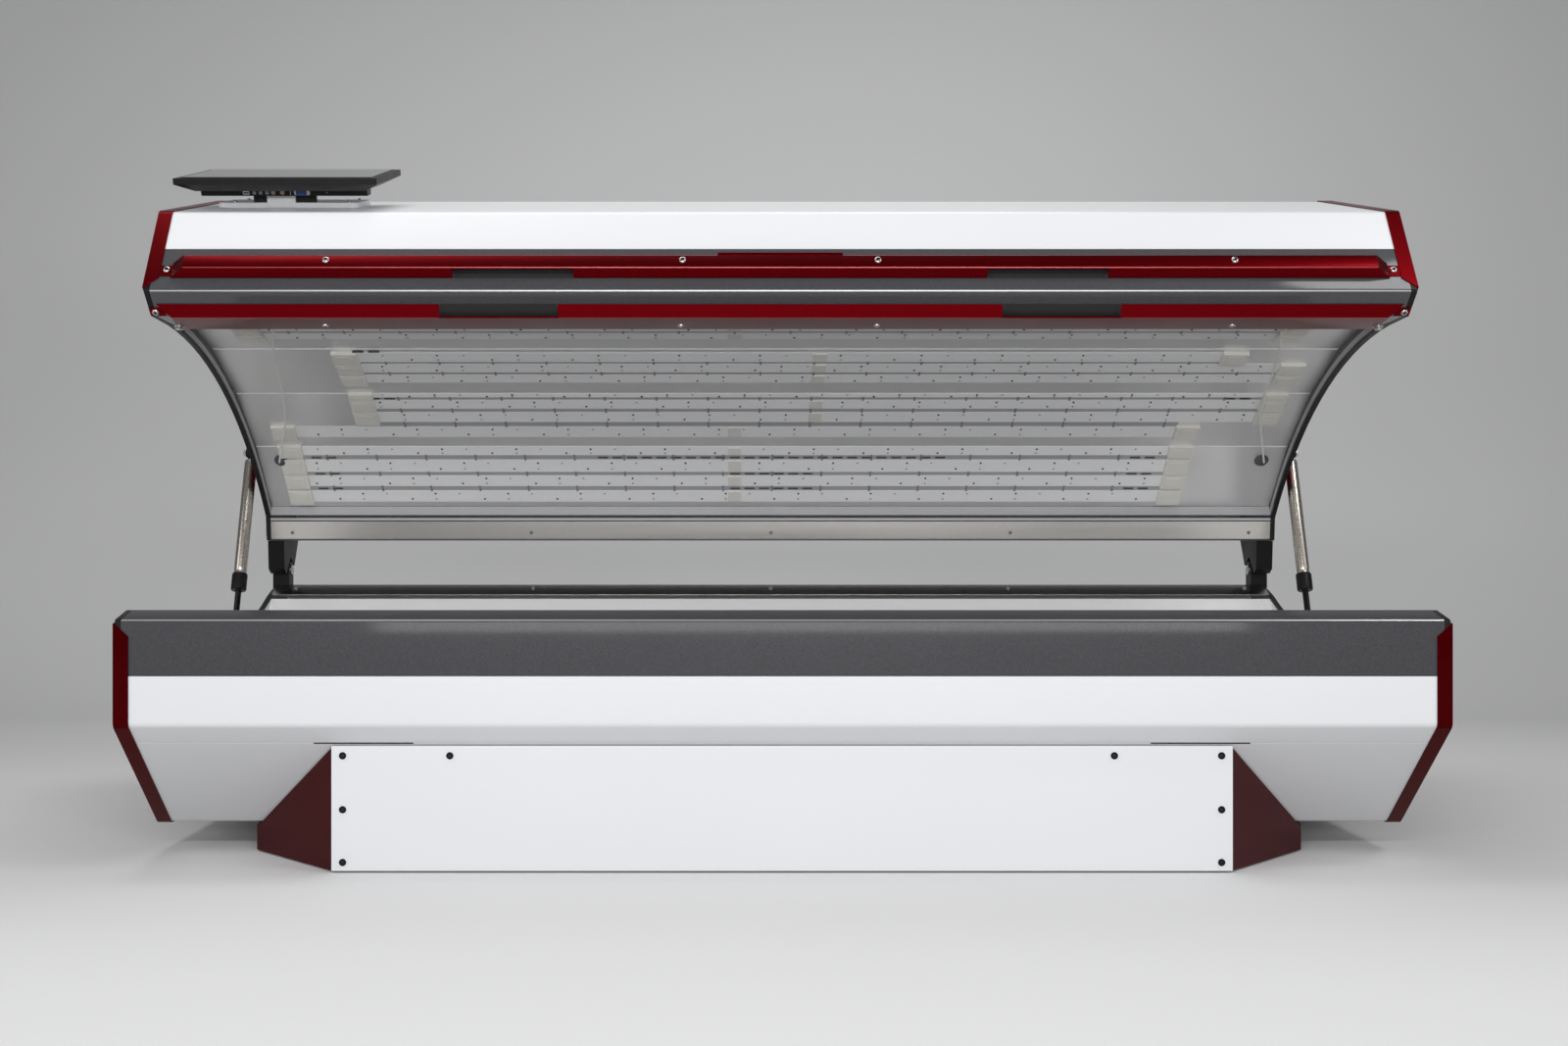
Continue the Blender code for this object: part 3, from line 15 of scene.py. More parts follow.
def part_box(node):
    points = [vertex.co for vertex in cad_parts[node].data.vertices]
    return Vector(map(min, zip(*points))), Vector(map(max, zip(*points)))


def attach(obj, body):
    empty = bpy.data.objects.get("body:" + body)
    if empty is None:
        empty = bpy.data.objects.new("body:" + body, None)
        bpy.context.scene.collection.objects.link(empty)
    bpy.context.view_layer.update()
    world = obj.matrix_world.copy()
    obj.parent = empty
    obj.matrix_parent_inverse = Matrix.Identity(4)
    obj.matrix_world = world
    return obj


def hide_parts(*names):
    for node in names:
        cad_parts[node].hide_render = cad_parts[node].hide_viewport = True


bl_info = {
    "name": "Light Therapy Bed Looks",
    "version": (1, 0, 0),
    "blender": (4, 5, 0),
    "location": "3D View > Sidebar > Bed",
    "description": "Finishes and small pieces for a clamshell light-therapy bed",
    "category": "Object",
}

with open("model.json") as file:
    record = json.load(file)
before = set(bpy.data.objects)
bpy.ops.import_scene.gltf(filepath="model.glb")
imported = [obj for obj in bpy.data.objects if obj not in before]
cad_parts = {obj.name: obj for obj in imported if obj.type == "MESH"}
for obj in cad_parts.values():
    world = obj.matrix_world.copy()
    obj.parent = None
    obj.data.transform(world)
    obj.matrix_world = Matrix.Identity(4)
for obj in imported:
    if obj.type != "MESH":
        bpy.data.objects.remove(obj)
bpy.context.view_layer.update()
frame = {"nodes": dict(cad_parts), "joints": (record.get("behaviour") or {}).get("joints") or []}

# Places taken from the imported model
JOINTS = {joint["name"]: joint for joint in frame["joints"]}
FRONT_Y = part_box("base_end_cap_left")[0].y
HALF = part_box("base_end_cap_right")[1].x
HINGE = Vector(JOINTS["canopy_hinge"]["pos_m"])
OPEN_ANGLE = math.radians(JOINTS["canopy_hinge"]["range_deg"][1])
SIDES = ((-1, "left"), (1, "right"))
HINGE_DEPTH = HINGE.y - FRONT_Y

# Carriers: each turns drawn places into the bed's frame
BASE = Matrix.Translation((0, FRONT_Y, 0))
CANOPY = (Matrix.Translation(HINGE) @ Matrix.Rotation(-OPEN_ANGLE, 4, 'X')
          @ Matrix.Translation(-HINGE) @ BASE)
SLOPE_ANGLE = math.atan2(0.262, 0.270)
SCREEN_TILT = math.radians(2.0)
SCREEN_AXIS = Vector((0, 0.141, 0.024))
CANOPY_BEND = (0, 0.668)
STAND_X = -0.920
STAND_TOP = 0.008
SLOPE = CANOPY @ Matrix.Translation((0, *CANOPY_BEND)) @ Matrix.Rotation(SLOPE_ANGLE, 4, 'X')
SCREEN = (Matrix.Translation(JOINTS["screen_tilt"]["pos_m"])
          @ Matrix.Rotation(SLOPE_ANGLE - OPEN_ANGLE + SCREEN_TILT, 4, 'X')
          @ Matrix.Translation(-SCREEN_AXIS))

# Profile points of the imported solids, as (depth, height)
MID_DEPTH = 0.550
BOARD_RADIUS = 1.019
CANOPY_ARC_Z = -0.386
BASE_ARC_Z = 1.34976
CANOPY_BOARDS = (0.180, 0.888)
BASE_BOARDS = (0.182, 0.918)
BOARDS = 4
CANOPY_NOSE = (0.0023, 0.486)
CANOPY_RIM = (0.058, 0.4725)
CANOPY_SHEET_BACK = (0.895, 0.5521)
CANOPY_SILL = (0.9255, 0.5115)
CANOPY_SHEET = (0.5642, -0.3916)
CANOPY_TOP_Z = 0.9277
BASE_SHEET = (MID_DEPTH, BASE_ARC_Z)
BASE_RETAINER_TOE = (0.9543, 0.4365)
BASE_RETAINER_BROW = (0.994, 0.4575)
BASE_DECK_Z = 0.4478
RAIL_FRONT = -0.0200
RAIL_ROOT = 0.0005
LOWER_RAIL_TIP = (0.0485, 0.4610)
LOWER_RAIL_HEEL = (0.160, 0.5208)
FLOOR_PAN_Z = 0.0576
PEDESTAL_FRONT = 0.039
PEDESTAL_REAR = 1.061
REAR_FACE = 1.0977

# Rounded folds that carry the painted highlight lines, as (place, direction out of the fold)
BASE_FOLD = ((0.00358, 0.4330), (-0.786, 0.618))
CANOPY_FOLD = ((0.00358, 0.4870), (-0.786, -0.618))
UPPER_RAIL_FOLD = ((-0.01954, 0.52083), (-0.816, -0.579))
LOWER_RAIL_FOLD = ((0.0486, 0.4616), (-0.1445, -0.9895))

# Half lengths between the end panels
LINE_HALF = 1.1150
LINER_HALF = 1.1154
SHEET_HALF = 1.1155

HINGE_END_GAP = 0.0213
HINGE_HALF_WIDTH = 0.018
STRUT_REACH = 0.4781
PORT_LINE = 0.0066
# Step that keeps a thin piece off the face it lies on
LIFT = 0.0001
SMOOTH_ANGLE = math.radians(35)
BEVEL_ANGLE = math.radians(32)
FLAT_ANGLE = math.radians(0.2)
MERGE = 0.00001
# Stretch of a finish's grain
EVEN = (1, 1, 1)
LONG = (0.1, 1, 1)

# Lamp rows: left end, right end and joiner
FRONT_RUN = (-0.995, 0.971, -0.080)
UPPER_RUN = (-0.835, 1.020, 0.090)
SHORT_RUN = (-0.835, 0.894, 0.090)
LOWER_RUN = (-1.020, 0.862, -0.080)
# Rows of the canopy's boards, front board first, as (board, start, end, run) with distances across the board
CANOPY_ROWS = (
    (0, 0.003, 0.039, FRONT_RUN), (0, 0.047, 0.081, FRONT_RUN), (0, 0.091, 0.1235, FRONT_RUN),
    (1, 0.0136, 0.050, SHORT_RUN), (1, 0.058, 0.092, UPPER_RUN), (1, 0.102, 0.1345, UPPER_RUN),
    (2, 0.000, 0.012, UPPER_RUN), (2, 0.020, 0.050, UPPER_RUN), (2, 0.061, 0.095, UPPER_RUN),
    (2, 0.110, 0.147, LOWER_RUN),
    (3, 0.000, 0.025, LOWER_RUN), (3, 0.038, 0.075, LOWER_RUN), (3, 0.085, 0.118, LOWER_RUN),
    (3, 0.131, 0.166, LOWER_RUN),
)
BASE_ROWS = tuple((board, start, end, run) for board, run in enumerate((LOWER_RUN, UPPER_RUN) * 2)
                  for start, end in ((0.008, 0.042), (0.053, 0.087), (0.098, 0.132), (0.143, 0.175)))
# Slots between the canopy's rows, as (board, middle across the board, left end, right end)
CANOPY_SLOTS = (
    (3, 0.0315, -0.378, 0.380), (3, 0.080, -0.090, 0.094), (3, 0.1246, -0.090, 0.094),
    (3, 0.0315, -1.001, -0.939), (3, 0.080, -1.001, -0.939), (3, 0.1246, -1.001, -0.939),
    (3, 0.0315, 0.780, 0.842), (3, 0.080, 0.780, 0.842), (3, 0.1246, 0.780, 0.842),
    (2, 0.016, -0.842, -0.780), (2, 0.016, 0.940, 1.000), (1, 0.009, -0.840, -0.778),
)
LEAD_GROMMET = (3, 0.040, 1.0677)


def length_setting(name, description, default, low=0.0):
    """A length in metres."""
    return FloatProperty(name=name, description=description, default=default, min=low, unit='LENGTH')


def colour_setting(name, description, default):
    """A colour."""
    return FloatVectorProperty(name=name, description=description, default=default, size=3, min=0, max=1,
                               subtype='COLOR')


def power_setting(name, description, default):
    """A light's power in watts."""
    return FloatProperty(name=name, description=description, default=default, min=0, unit='POWER')


class LampSettings(bpy.types.PropertyGroup):
    """Sizes of the lamp rows behind the clear sheets."""
    strip_height: length_setting("Strip height", "Thickness of a lamp strip", 0.0012, 0.0005)
    chip_radius: length_setting("Chip radius", "Half the width of a lamp chip", 0.0024, 0.0005)
    chip_height: length_setting("Chip height", "How far a chip stands off its strip", 0.0016, 0.0002)
    chip_pitch: length_setting("Chip pitch", "Distance between dark chips in one line", 0.161, 0.01)
    chip_stagger: length_setting("Chip stagger", "Shift of a strip's second line of chips", 0.108)
    row_shift: length_setting("Row shift", "Shift of the chips from one row to the next", 0.0437)
    pale_shift: length_setting("Pale chip shift", "From a dark chip to the pale one after it", 0.053)
    connector_length: length_setting("Connector length", "Length of the beige end connectors", 0.048, 0.01)
    connector_height: length_setting("Connector height", "Height of the end connectors", 0.0085, 0.002)
    joiner_length: length_setting("Joiner length", "Length of the joiner between two strips", 0.028, 0.01)
    clip_pitch: length_setting("Clip pitch", "Distance between the strips' holding clips", 0.1076, 0.02)
    slot_length: length_setting("Slot length", "Length of one slot in the boards", 0.0221, 0.005)
    slot_pitch: length_setting("Slot pitch", "Distance between slots in a line", 0.0319, 0.01)


class FastenerSettings(bpy.types.PropertyGroup):
    """Sizes of the bolts and screws."""
    bolt_radius: length_setting("Bolt radius", "Head radius of the pedestal's bolts", 0.0062, 0.001)
    screw_radius: length_setting("Screw radius", "Head radius of the rails' screws", 0.0066, 0.001)
    small_radius: length_setting("Small screw radius", "Head radius of the other screws", 0.0042, 0.001)
    head_height: FloatProperty(name="Head height", description="Height of a head against its radius",
                               default=0.55, min=0.1, subtype='FACTOR')


class FinishSettings(bpy.types.PropertyGroup):
    """Colours of the finishes."""
    white: colour_setting("White enamel", "Powder coat of the covers", (0.80, 0.81, 0.83))
    graphite: colour_setting("Graphite enamel", "Metallic coat of the nose trims", (0.075, 0.075, 0.082))
    red: colour_setting("Candy red", "Clear-coated red of caps, rails and sides", (0.130, 0.0004, 0.0026))
    steel: colour_setting("Polished steel", "Retainers", (0.58, 0.56, 0.53))
    nickel: colour_setting("Brushed nickel", "Gas strut tubes", (0.52, 0.48, 0.43))
    black: colour_setting("Black", "Hinges, frame and black plastics", (0.0075, 0.0075, 0.0082))
    acrylic: colour_setting("Clear acrylic", "Tint of the curved clear sheets", (0.50, 0.505, 0.53))
    acrylic_cover: FloatProperty(name="Acrylic haze", description="How much the clear sheets hide",
                                 default=0.06, min=0, max=1, subtype='FACTOR')
    board: colour_setting("Lamp board", "Reflector boards behind the lamp strips", (0.74, 0.74, 0.755))
    strip: colour_setting("Lamp strip", "White faces of the lamp strips", (0.93, 0.935, 0.94))
    beige: colour_setting("Beige nylon", "Connectors at the strips' ends", (0.78, 0.76, 0.70))


class StageSettings(bpy.types.PropertyGroup):
    """Camera, floor and light."""
    camera_x: length_setting("Camera x", "Camera's place along the bed", -0.0837, -10.0)
    camera_back: length_setting("Camera distance", "From the bed's front face to the camera", 2.90, 1.0)
    camera_height: length_setting("Camera height", "Camera's height above the floor", 0.597)
    lens: FloatProperty(name="Lens", description="Focal length in millimetres",
                        default=39.54, min=10, unit='CAMERA')
    shift: FloatProperty(name="Shift", description="Sideways shift of the picture", default=0.0325)
    floor: colour_setting("Floor", "Colour of the floor and the backdrop", (0.80, 0.80, 0.80))
    floor_bounce: colour_setting("Floor bounce", "Colour the floor throws on the bed", (0.42, 0.42, 0.42))
    key_power: power_setting("Key light", "Power of the strip light in front", 63)
    low_power: power_setting("Low light", "Power of the strip light in front, near the floor", 62)
    top_power: power_setting("Top light", "Power of the light overhead", 46)
    corner_power: power_setting("Corner light", "Power of the light over the right end", 21)
    left_power: power_setting("Left light", "Power of the light at the left side", 24)
    right_power: power_setting("Right light", "Power of the light at the right side", 13)
    world_level: FloatProperty(name="Ambient", description="Strength of the light from all round",
                               default=0.155, min=0)


def face_place(carrier, start, end, flip=False):
    """A place on a face: X along the bed, Y from the start to the end of a profile line, Z off the face."""
    run = (Vector(end) - Vector(start)).normalized()
    off = Vector((0, -run.y, run.x))
    if flip:
        off.negate()
    turn = Matrix(((1, 0, 0), (0, run.x, run.y), off)).transposed().to_4x4()
    return carrier @ Matrix.Translation((0, *start)) @ turn


def upright(carrier, depth, flip=False):
    """A place on an upright face across the bed, with Y up from the floor."""
    return face_place(carrier, (depth, 0), (depth, 1), flip)


def board_places(carrier, arc_z, rise, depths):
    """Places on the lamp boards' faces, front board first, with Y running back from each front joint."""
    first, last = (math.asin((depth - MID_DEPTH) / BOARD_RADIUS) for depth in depths)
    turn = (last - first) / BOARDS
    radius = BOARD_RADIUS / math.cos(turn / 2)
    joints = []
    for number in range(BOARDS + 1):
        angle = first + turn * number
        joints.append((MID_DEPTH + radius * math.sin(angle), arc_z + rise * radius * math.cos(angle)))
    return [face_place(carrier, a, b, rise > 0) for a, b in zip(joints, joints[1:])]


class Shape:
    """Points and faces of one piece while it is drawn; place turns drawn points into the bed's frame."""

    def __init__(self, place=Matrix.Identity(4)):
        self.place = place
        self.points = []
        self.faces = []
        self.coats = []

    def add(self, points, faces, coat=0):
        first = len(self.points)
        self.points += [self.place @ Vector(point) for point in points]
        self.faces += [[first + corner for corner in face] for face in faces]
        self.coats += [coat] * len(faces)

    def block(self, low, high, coat=0):
        points = [(x, y, z) for x in (low[0], high[0]) for y in (low[1], high[1]) for z in (low[2], high[2])]
        faces = ((0, 1, 3, 2), (4, 6, 7, 5), (0, 4, 5, 1), (2, 3, 7, 6), (0, 2, 6, 4), (1, 5, 7, 3))
        self.add(points, faces, coat)

    def loft(self, rings, coat=0):
        """Skin between rings with the same number of points, closed at both ends."""
        count = len(rings[0])
        points = [point for ring in rings for point in ring]
        faces = [list(range(count)), list(range(len(points) - count, len(points)))]
        for first in range(0, len(points) - count, count):
            for i in range(count):
                a, b = first + i, first + (i + 1) % count
                faces.append([a, b, b + count, a + count])
        self.add(points, faces, coat)

    def slab(self, outline, low, high, coat=0):
        """A plate across the bed's length, from an outline in (depth, height)."""
        self.loft([[(x, *point) for point in outline] for x in (low, high)], coat)

    def prism(self, outline, low, high, coat=0):
        """A plate lying on a face, from an outline in (x, y)."""
        self.loft([[(*point, z) for point in outline] for z in (low, high)], coat)

    def turned(self, spot, rings, sides=24, coat=0, along='Z'):
        """A turned form from (radius, height) or (radius, height, 6) rings; the latter are hexagons."""
        loops = []
        for radius, height, *corners in rings:
            loop = []
            for i in range(sides):
                angle = math.tau * i / sides
                reach = radius
                if corners:
                    sector = math.tau / corners[0]
                    reach *= math.cos(sector / 2) / math.cos(angle % sector - sector / 2)
                a, b = reach * math.cos(angle), reach * math.sin(angle)
                offset = (a, b, height) if along == 'Z' else (height, a, b)
                loop.append(Vector(spot) + Vector(offset))
            loops.append(loop)
        self.loft(loops, coat)

    def socket_head(self, spot, radius, height, coat=0, hollow=1):
        """A button head with a hexagon socket whose floor is painted dark as shade, standing on the face."""
        rings = [(1.00, 0.00), (1.00, 0.35), (0.95, 0.60), (0.82, 0.84), (0.62, 1.00), (0.52, 1.00)]
        rings = [(radius * r, height * h) for r, h in rings]
        rings += [(radius * 0.50, height * 0.96, 6), (radius * 0.46, height * 0.30, 6)]
        self.turned(spot, rings, coat=coat)
        self.turned(spot, [(radius * 0.44, height * 0.32, 6), (radius * 0.44, height * 0.40, 6)], coat=hollow)

    def hex_bolt(self, spot, radius, height):
        """A hexagon head on a washer."""
        rings = [(radius * 1.25, 0), (radius * 1.25, height * 0.18)]
        rings += [(radius, height * 0.20, 6), (radius, height * 0.88, 6), (radius * 0.84, height)]
        self.turned(spot, rings)

    def hoop(self, spot, outline, coat=0, along='Z', sides=32):
        """A ring from (radius, height) points that run round its section."""
        count = len(outline)
        points, faces = [], []
        for i in range(sides):
            angle = math.tau * i / sides
            for j, (radius, height) in enumerate(outline):
                a, b = radius * math.cos(angle), radius * math.sin(angle)
                offset = (a, b, height) if along == 'Z' else (height, a, b)
                points.append(Vector(spot) + Vector(offset))
                k, n = (i + 1) % sides, (j + 1) % count
                faces.append((i * count + j, k * count + j, k * count + n, i * count + n))
        self.add(points, faces, coat)


def rounded_outline(low, high, radius, steps=5):
    """A rectangle with round corners."""
    outline = []
    centres = ((high[0] - radius, high[1] - radius), (low[0] + radius, high[1] - radius),
               (low[0] + radius, low[1] + radius), (high[0] - radius, low[1] + radius))
    for quarter, centre in enumerate(centres):
        for step in range(steps + 1):
            angle = math.pi / 2 * (quarter + step / steps)
            outline.append((centre[0] + radius * math.cos(angle), centre[1] + radius * math.sin(angle)))
    return outline


def arc_points(middle, radius, first, last, steps=24):
    """Points of an arc in (depth, height)."""
    angles = [first + (last - first) * step / steps for step in range(steps + 1)]
    return [(middle[0] + radius * math.cos(angle), middle[1] + radius * math.sin(angle)) for angle in angles]


def add_bevel(piece, width, segments=2):
    bevel = piece.modifiers.new("Edges", 'BEVEL')
    bevel.width = width
    bevel.segments = segments
    bevel.limit_method = 'ANGLE'
    bevel.angle_limit = BEVEL_ANGLE
    bevel.harden_normals = True


def add_piece(shape, name, coats, body, slot, edge=0.0):
    """Make a drawn shape a piece of the bed that moves with a body."""
    mesh = bpy.data.meshes.new(name)
    mesh.from_pydata(shape.points, [], shape.faces)
    mesh.polygons.foreach_set("material_index", shape.coats)
    bm = bmesh.new()
    bm.from_mesh(mesh)
    bmesh.ops.recalc_face_normals(bm, faces=bm.faces)
    bm.to_mesh(mesh)
    bm.free()
    for coat in coats:
        mesh.materials.append(bpy.data.materials[coat])
    mesh.shade_smooth()
    mesh.set_sharp_from_angle(angle=SMOOTH_ANGLE)
    piece = bpy.data.objects.new(name, mesh)
    bpy.context.scene.collection.objects.link(piece)
    if edge:
        add_bevel(piece, edge)
    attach(piece, body)
    return piece


def dress(nodes, coat, edge=0.0007):
    """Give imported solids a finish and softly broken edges; their meshes stay as they are."""
    for node in nodes:
        piece = frame["nodes"][node]
        mesh = piece.data
        mesh.materials.clear()
        mesh.materials.append(bpy.data.materials[coat])
        normals = mesh.attributes.get("custom_normal")
        if normals:
            mesh.attributes.remove(normals)
        mesh.shade_smooth()
        weld = piece.modifiers.new("Weld", 'WELD')
        weld.merge_threshold = MERGE
        flat = piece.modifiers.new("Flat faces", 'DECIMATE')
        flat.decimate_type = 'DISSOLVE'
        flat.angle_limit = FLAT_ANGLE
        add_bevel(piece, edge)


def both_sides(pattern):
    """Node names for the left and the right hand."""
    return [pattern.format(hand) for _, hand in SIDES]


class Finish:
    """A Principled material while it is mixed."""

    def __init__(self, name, colour, roughness, metallic=0.0):
        self.material = bpy.data.materials.new(name)
        self.material.use_nodes = True
        self.tree = self.material.node_tree
        self.shader = self.tree.nodes["Principled BSDF"]
        self.colour = colour
        self.set(Base_Color=(*colour, 1.0), Roughness=roughness, Metallic=metallic)

    def set(self, **sockets):
        for name, value in sockets.items():
            self.shader.inputs[name.replace("_", " ")].default_value = value

    def node(self, kind, **inputs):
        node = self.tree.nodes.new(kind)
        for name, value in inputs.items():
            node.inputs[name.replace("_", " ")].default_value = value
        return node

    def link(self, output, socket):
        self.tree.links.new(output, socket)

    def place(self, stretch):
        """Object coordinates in metres, stretched along an axis for grain that runs one way."""
        coordinates = self.node("ShaderNodeTexCoord")
        mapping = self.node("ShaderNodeMapping", Scale=stretch)
        self.link(coordinates.outputs["Object"], mapping.inputs["Vector"])
        return mapping.outputs["Vector"]

    def grain(self, scale, stretch=EVEN, detail=2.0):
        noise = self.node("ShaderNodeTexNoise", Scale=scale, Detail=detail)
        self.link(self.place(stretch), noise.inputs["Vector"])
        return noise.outputs["Fac"]

    def cells(self, scale):
        """Flakes or spangles: a flat value a cell."""
        voronoi = self.node("ShaderNodeTexVoronoi", Scale=scale)
        self.link(self.place(EVEN), voronoi.inputs["Vector"])
        split = self.node("ShaderNodeSeparateColor")
        self.link(voronoi.outputs["Color"], split.inputs["Color"])
        return split.outputs["Red"]

    def tint(self, pattern, spread):
        """Vary the colour lighter and darker with a pattern."""
        ramp = self.node("ShaderNodeMix")
        ramp.data_type = 'RGBA'
        ramp.inputs[6].default_value = (*(c * (1 - spread) for c in self.colour), 1.0)
        ramp.inputs[7].default_value = (*(min(1.0, c * (1 + spread)) for c in self.colour), 1.0)
        self.link(pattern, ramp.inputs["Factor"])
        self.link(ramp.outputs[2], self.shader.inputs["Base Color"])

    def polish(self, pattern, low, high):
        """Vary the roughness with a pattern."""
        span = self.node("ShaderNodeMapRange", To_Min=low, To_Max=high)
        self.link(pattern, span.inputs["Value"])
        self.link(span.outputs["Result"], self.shader.inputs["Roughness"])

    def relief(self, pattern, depth, strength):
        """Raise the surface with a pattern; a coat stays smooth over it."""
        bump = self.node("ShaderNodeBump", Strength=strength, Distance=depth)
        self.link(pattern, bump.inputs["Height"])
        self.link(bump.outputs["Normal"], self.shader.inputs["Normal"])


def grain(*spec, **options):
    """A noise pattern for a finish to follow."""
    return lambda finish: finish.grain(*spec, **options)


def cells(scale):
    """A flake pattern for a finish to follow."""
    return lambda finish: finish.cells(scale)


def mix(name, colour, roughness, metallic=0.0, tint=None, polish=None, relief=None, **sockets):
    """Mix a finish; each of tint, polish and relief is a pattern and then its amounts."""
    finish = Finish(name, colour, roughness, metallic)
    for vary, recipe in ((finish.tint, tint), (finish.polish, polish), (finish.relief, relief)):
        if recipe:
            pattern, *amounts = recipe
            vary(pattern(finish), *amounts)
    finish.set(**sockets)


def mix_paints(look):
    """Powder coats, graphite, candy red and the painted highlight lines on their folds."""
    mix("enamel_white", look.white, 0.34, tint=(grain(3.0), 0.012), polish=(grain(9.0), 0.30, 0.40),
        relief=(grain(520.0, detail=1.0), 0.0004, 0.06))
    # The base trim's graphite is the canopy's graphite made darker (shade 0.85) as painted shade, and with
    # less coat so it mirrors the lights less.
    for name, shade, coat in (("enamel_graphite", 1.0, 0.8), ("enamel_graphite_base_painted_shade", 0.85, 0.2)):
        mix(name, [shade * value for value in look.graphite], 0.50, 0.20, tint=(cells(1600.0), 0.35),
            polish=(grain(7.0), 0.46, 0.56), relief=(grain(900.0), 0.0001, 0.02),
            Specular_IOR_Level=0.1, Coat_Weight=coat, Coat_Roughness=0.08)
    mix("enamel_black", look.black, 0.40, tint=(grain(12.0), 0.20), polish=(grain(8.0), 0.34, 0.46),
        Specular_IOR_Level=0.2)
    # The second red is the same candy red made darker (shade 0.55) as painted shade.
    for name, shade in (("lacquer_red", 1.0), ("lacquer_red_painted_shade", 0.55)):
        mix(name, [shade * value for value in look.red], 0.30, 0.8, tint=(cells(1400.0), 0.30),
            polish=(grain(6.0), 0.26, 0.36), relief=(grain(260.0, detail=1.0), 0.0001, 0.02),
            Specular_IOR_Level=0.02, Coat_Weight=0.03, Coat_Roughness=0.06)
    # Pale strips in these two finishes stand on the folds as painted highlights.
    mix("graphite_painted_highlight", (0.52, 0.52, 0.54), 0.34, 0.5, polish=(grain(40.0, LONG), 0.28, 0.40))
    mix("lacquer_painted_highlight", (0.40, 0.055, 0.060), 0.30, 0.3, polish=(grain(40.0, LONG), 0.24, 0.36))
    mix("driver_case", (0.60, 0.61, 0.62), 0.42, 0.3, tint=(grain(40.0), 0.04),
        relief=(grain(600.0), 0.0003, 0.05))


def mix_metals(look):
    """Polished, brushed, black and galvanised steel."""
    mix("steel_polished", look.steel, 0.14, 1.0, tint=(grain(2.0, (0.5, 3, 3)), 0.08),
        polish=(grain(12.0, (0.1, 4, 4)), 0.20, 0.30), relief=(grain(1.6, (1, 3, 3), 1.0), 0.004, 0.05))
    mix("steel_bright", (0.52, 0.51, 0.50), 0.22, 1.0, polish=(grain(900.0), 0.16, 0.30))
    mix("nickel_brushed", look.nickel, 0.25, 1.0, tint=(grain(700.0, (1, 1, 0.03), 3.0), 0.12),
        polish=(grain(900.0, (1, 1, 0.03), 3.0), 0.20, 0.34))
    mix("steel_black", look.black, 0.42, 0.3, tint=(grain(30.0), 0.25), polish=(grain(20.0), 0.36, 0.50),
        relief=(grain(700.0), 0.0003, 0.10), Specular_IOR_Level=0.15)
    mix("rod_dark", (0.030, 0.030, 0.034), 0.20, 1.0, polish=(grain(400.0, (1, 1, 0.05)), 0.14, 0.28))
    mix("steel_galvanised", (0.46, 0.47, 0.48), 0.42, 0.9, tint=(cells(90.0), 0.18),
        polish=(cells(110.0), 0.32, 0.52))
    mix("brass_contact", (0.34, 0.29, 0.20), 0.30, 1.0, polish=(grain(600.0), 0.22, 0.36))


def mix_lamp_finishes(look):
    """Clear sheets, boards, strips and what is on them."""
    mix("acrylic_clear", look.acrylic, 0.07, polish=(grain(4.0, (1, 3, 3)), 0.04, 0.12),
        relief=(grain(2.2, (0.6, 3.2, 3.2), 1.0), 0.020, 0.12), Alpha=look.acrylic_cover, IOR=2.6)
    mix("lamp_board", look.board, 0.34, 0.35, tint=(grain(2.5, (0.5, 3, 3)), 0.10),
        polish=(grain(30.0, (0.1, 4, 4)), 0.28, 0.42))
    mix("lamp_strip", look.strip, 0.36, tint=(grain(60.0, (0.2, 1, 1)), 0.03),
        polish=(grain(200.0), 0.30, 0.44))
    mix("nylon_beige", look.beige, 0.46, tint=(grain(80.0), 0.05), relief=(grain(700.0), 0.0002, 0.08))
    mix("chip_dark", (0.020, 0.020, 0.024), 0.22, polish=(grain(900.0), 0.16, 0.30))
    mix("chip_pale", (0.42, 0.42, 0.42), 0.30, polish=(grain(900.0), 0.22, 0.38))
    mix("clip_grey", (0.24, 0.24, 0.25), 0.40, 0.3, polish=(grain(500.0), 0.32, 0.48))
    mix("gap_grey", (0.42, 0.42, 0.435), 0.40, 0.2, tint=(grain(30.0, LONG), 0.10))
    mix("cable_white", (0.82, 0.82, 0.79), 0.48, tint=(grain(120.0), 0.04),
        relief=(grain(500.0), 0.0002, 0.08))


def mix_plastics(look):
    """Moulded plastics, rubber and the screen's glass."""
    mix("plastic_black", look.black, 0.36, tint=(grain(40.0), 0.20), polish=(grain(25.0), 0.30, 0.44),
        relief=(grain(1100.0), 0.0002, 0.12), Specular_IOR_Level=0.2)
    mix("rubber_dark", (0.020, 0.020, 0.021), 0.70, tint=(grain(60.0), 0.20),
        relief=(grain(800.0), 0.0003, 0.15))
    mix("glass_dark", (0.004, 0.004, 0.005), 0.05, polish=(grain(5.0), 0.03, 0.09),
        Coat_Weight=0.5, Coat_Roughness=0.02)
    # Near-black painted shade for socket floors, board slots, louvre mouths and the insides of ports.
    mix("hollow_painted_shade", (0.006, 0.006, 0.007), 0.60, tint=(grain(200.0), 0.20))
    mix("port_blue", (0.010, 0.035, 0.180), 0.42, tint=(grain(300.0), 0.10))


class BED_OT_mix_finishes(bpy.types.Operator):
    """Mix the paints, metals, plastics and clear sheets"""
    bl_idname = "bed.mix_finishes"
    bl_label = "Mix finishes"

    def execute(self, context):
        look = context.scene.bed_finishes
        mix_paints(look)
        mix_metals(look)
        mix_lamp_finishes(look)
        mix_plastics(look)
        return {'FINISHED'}


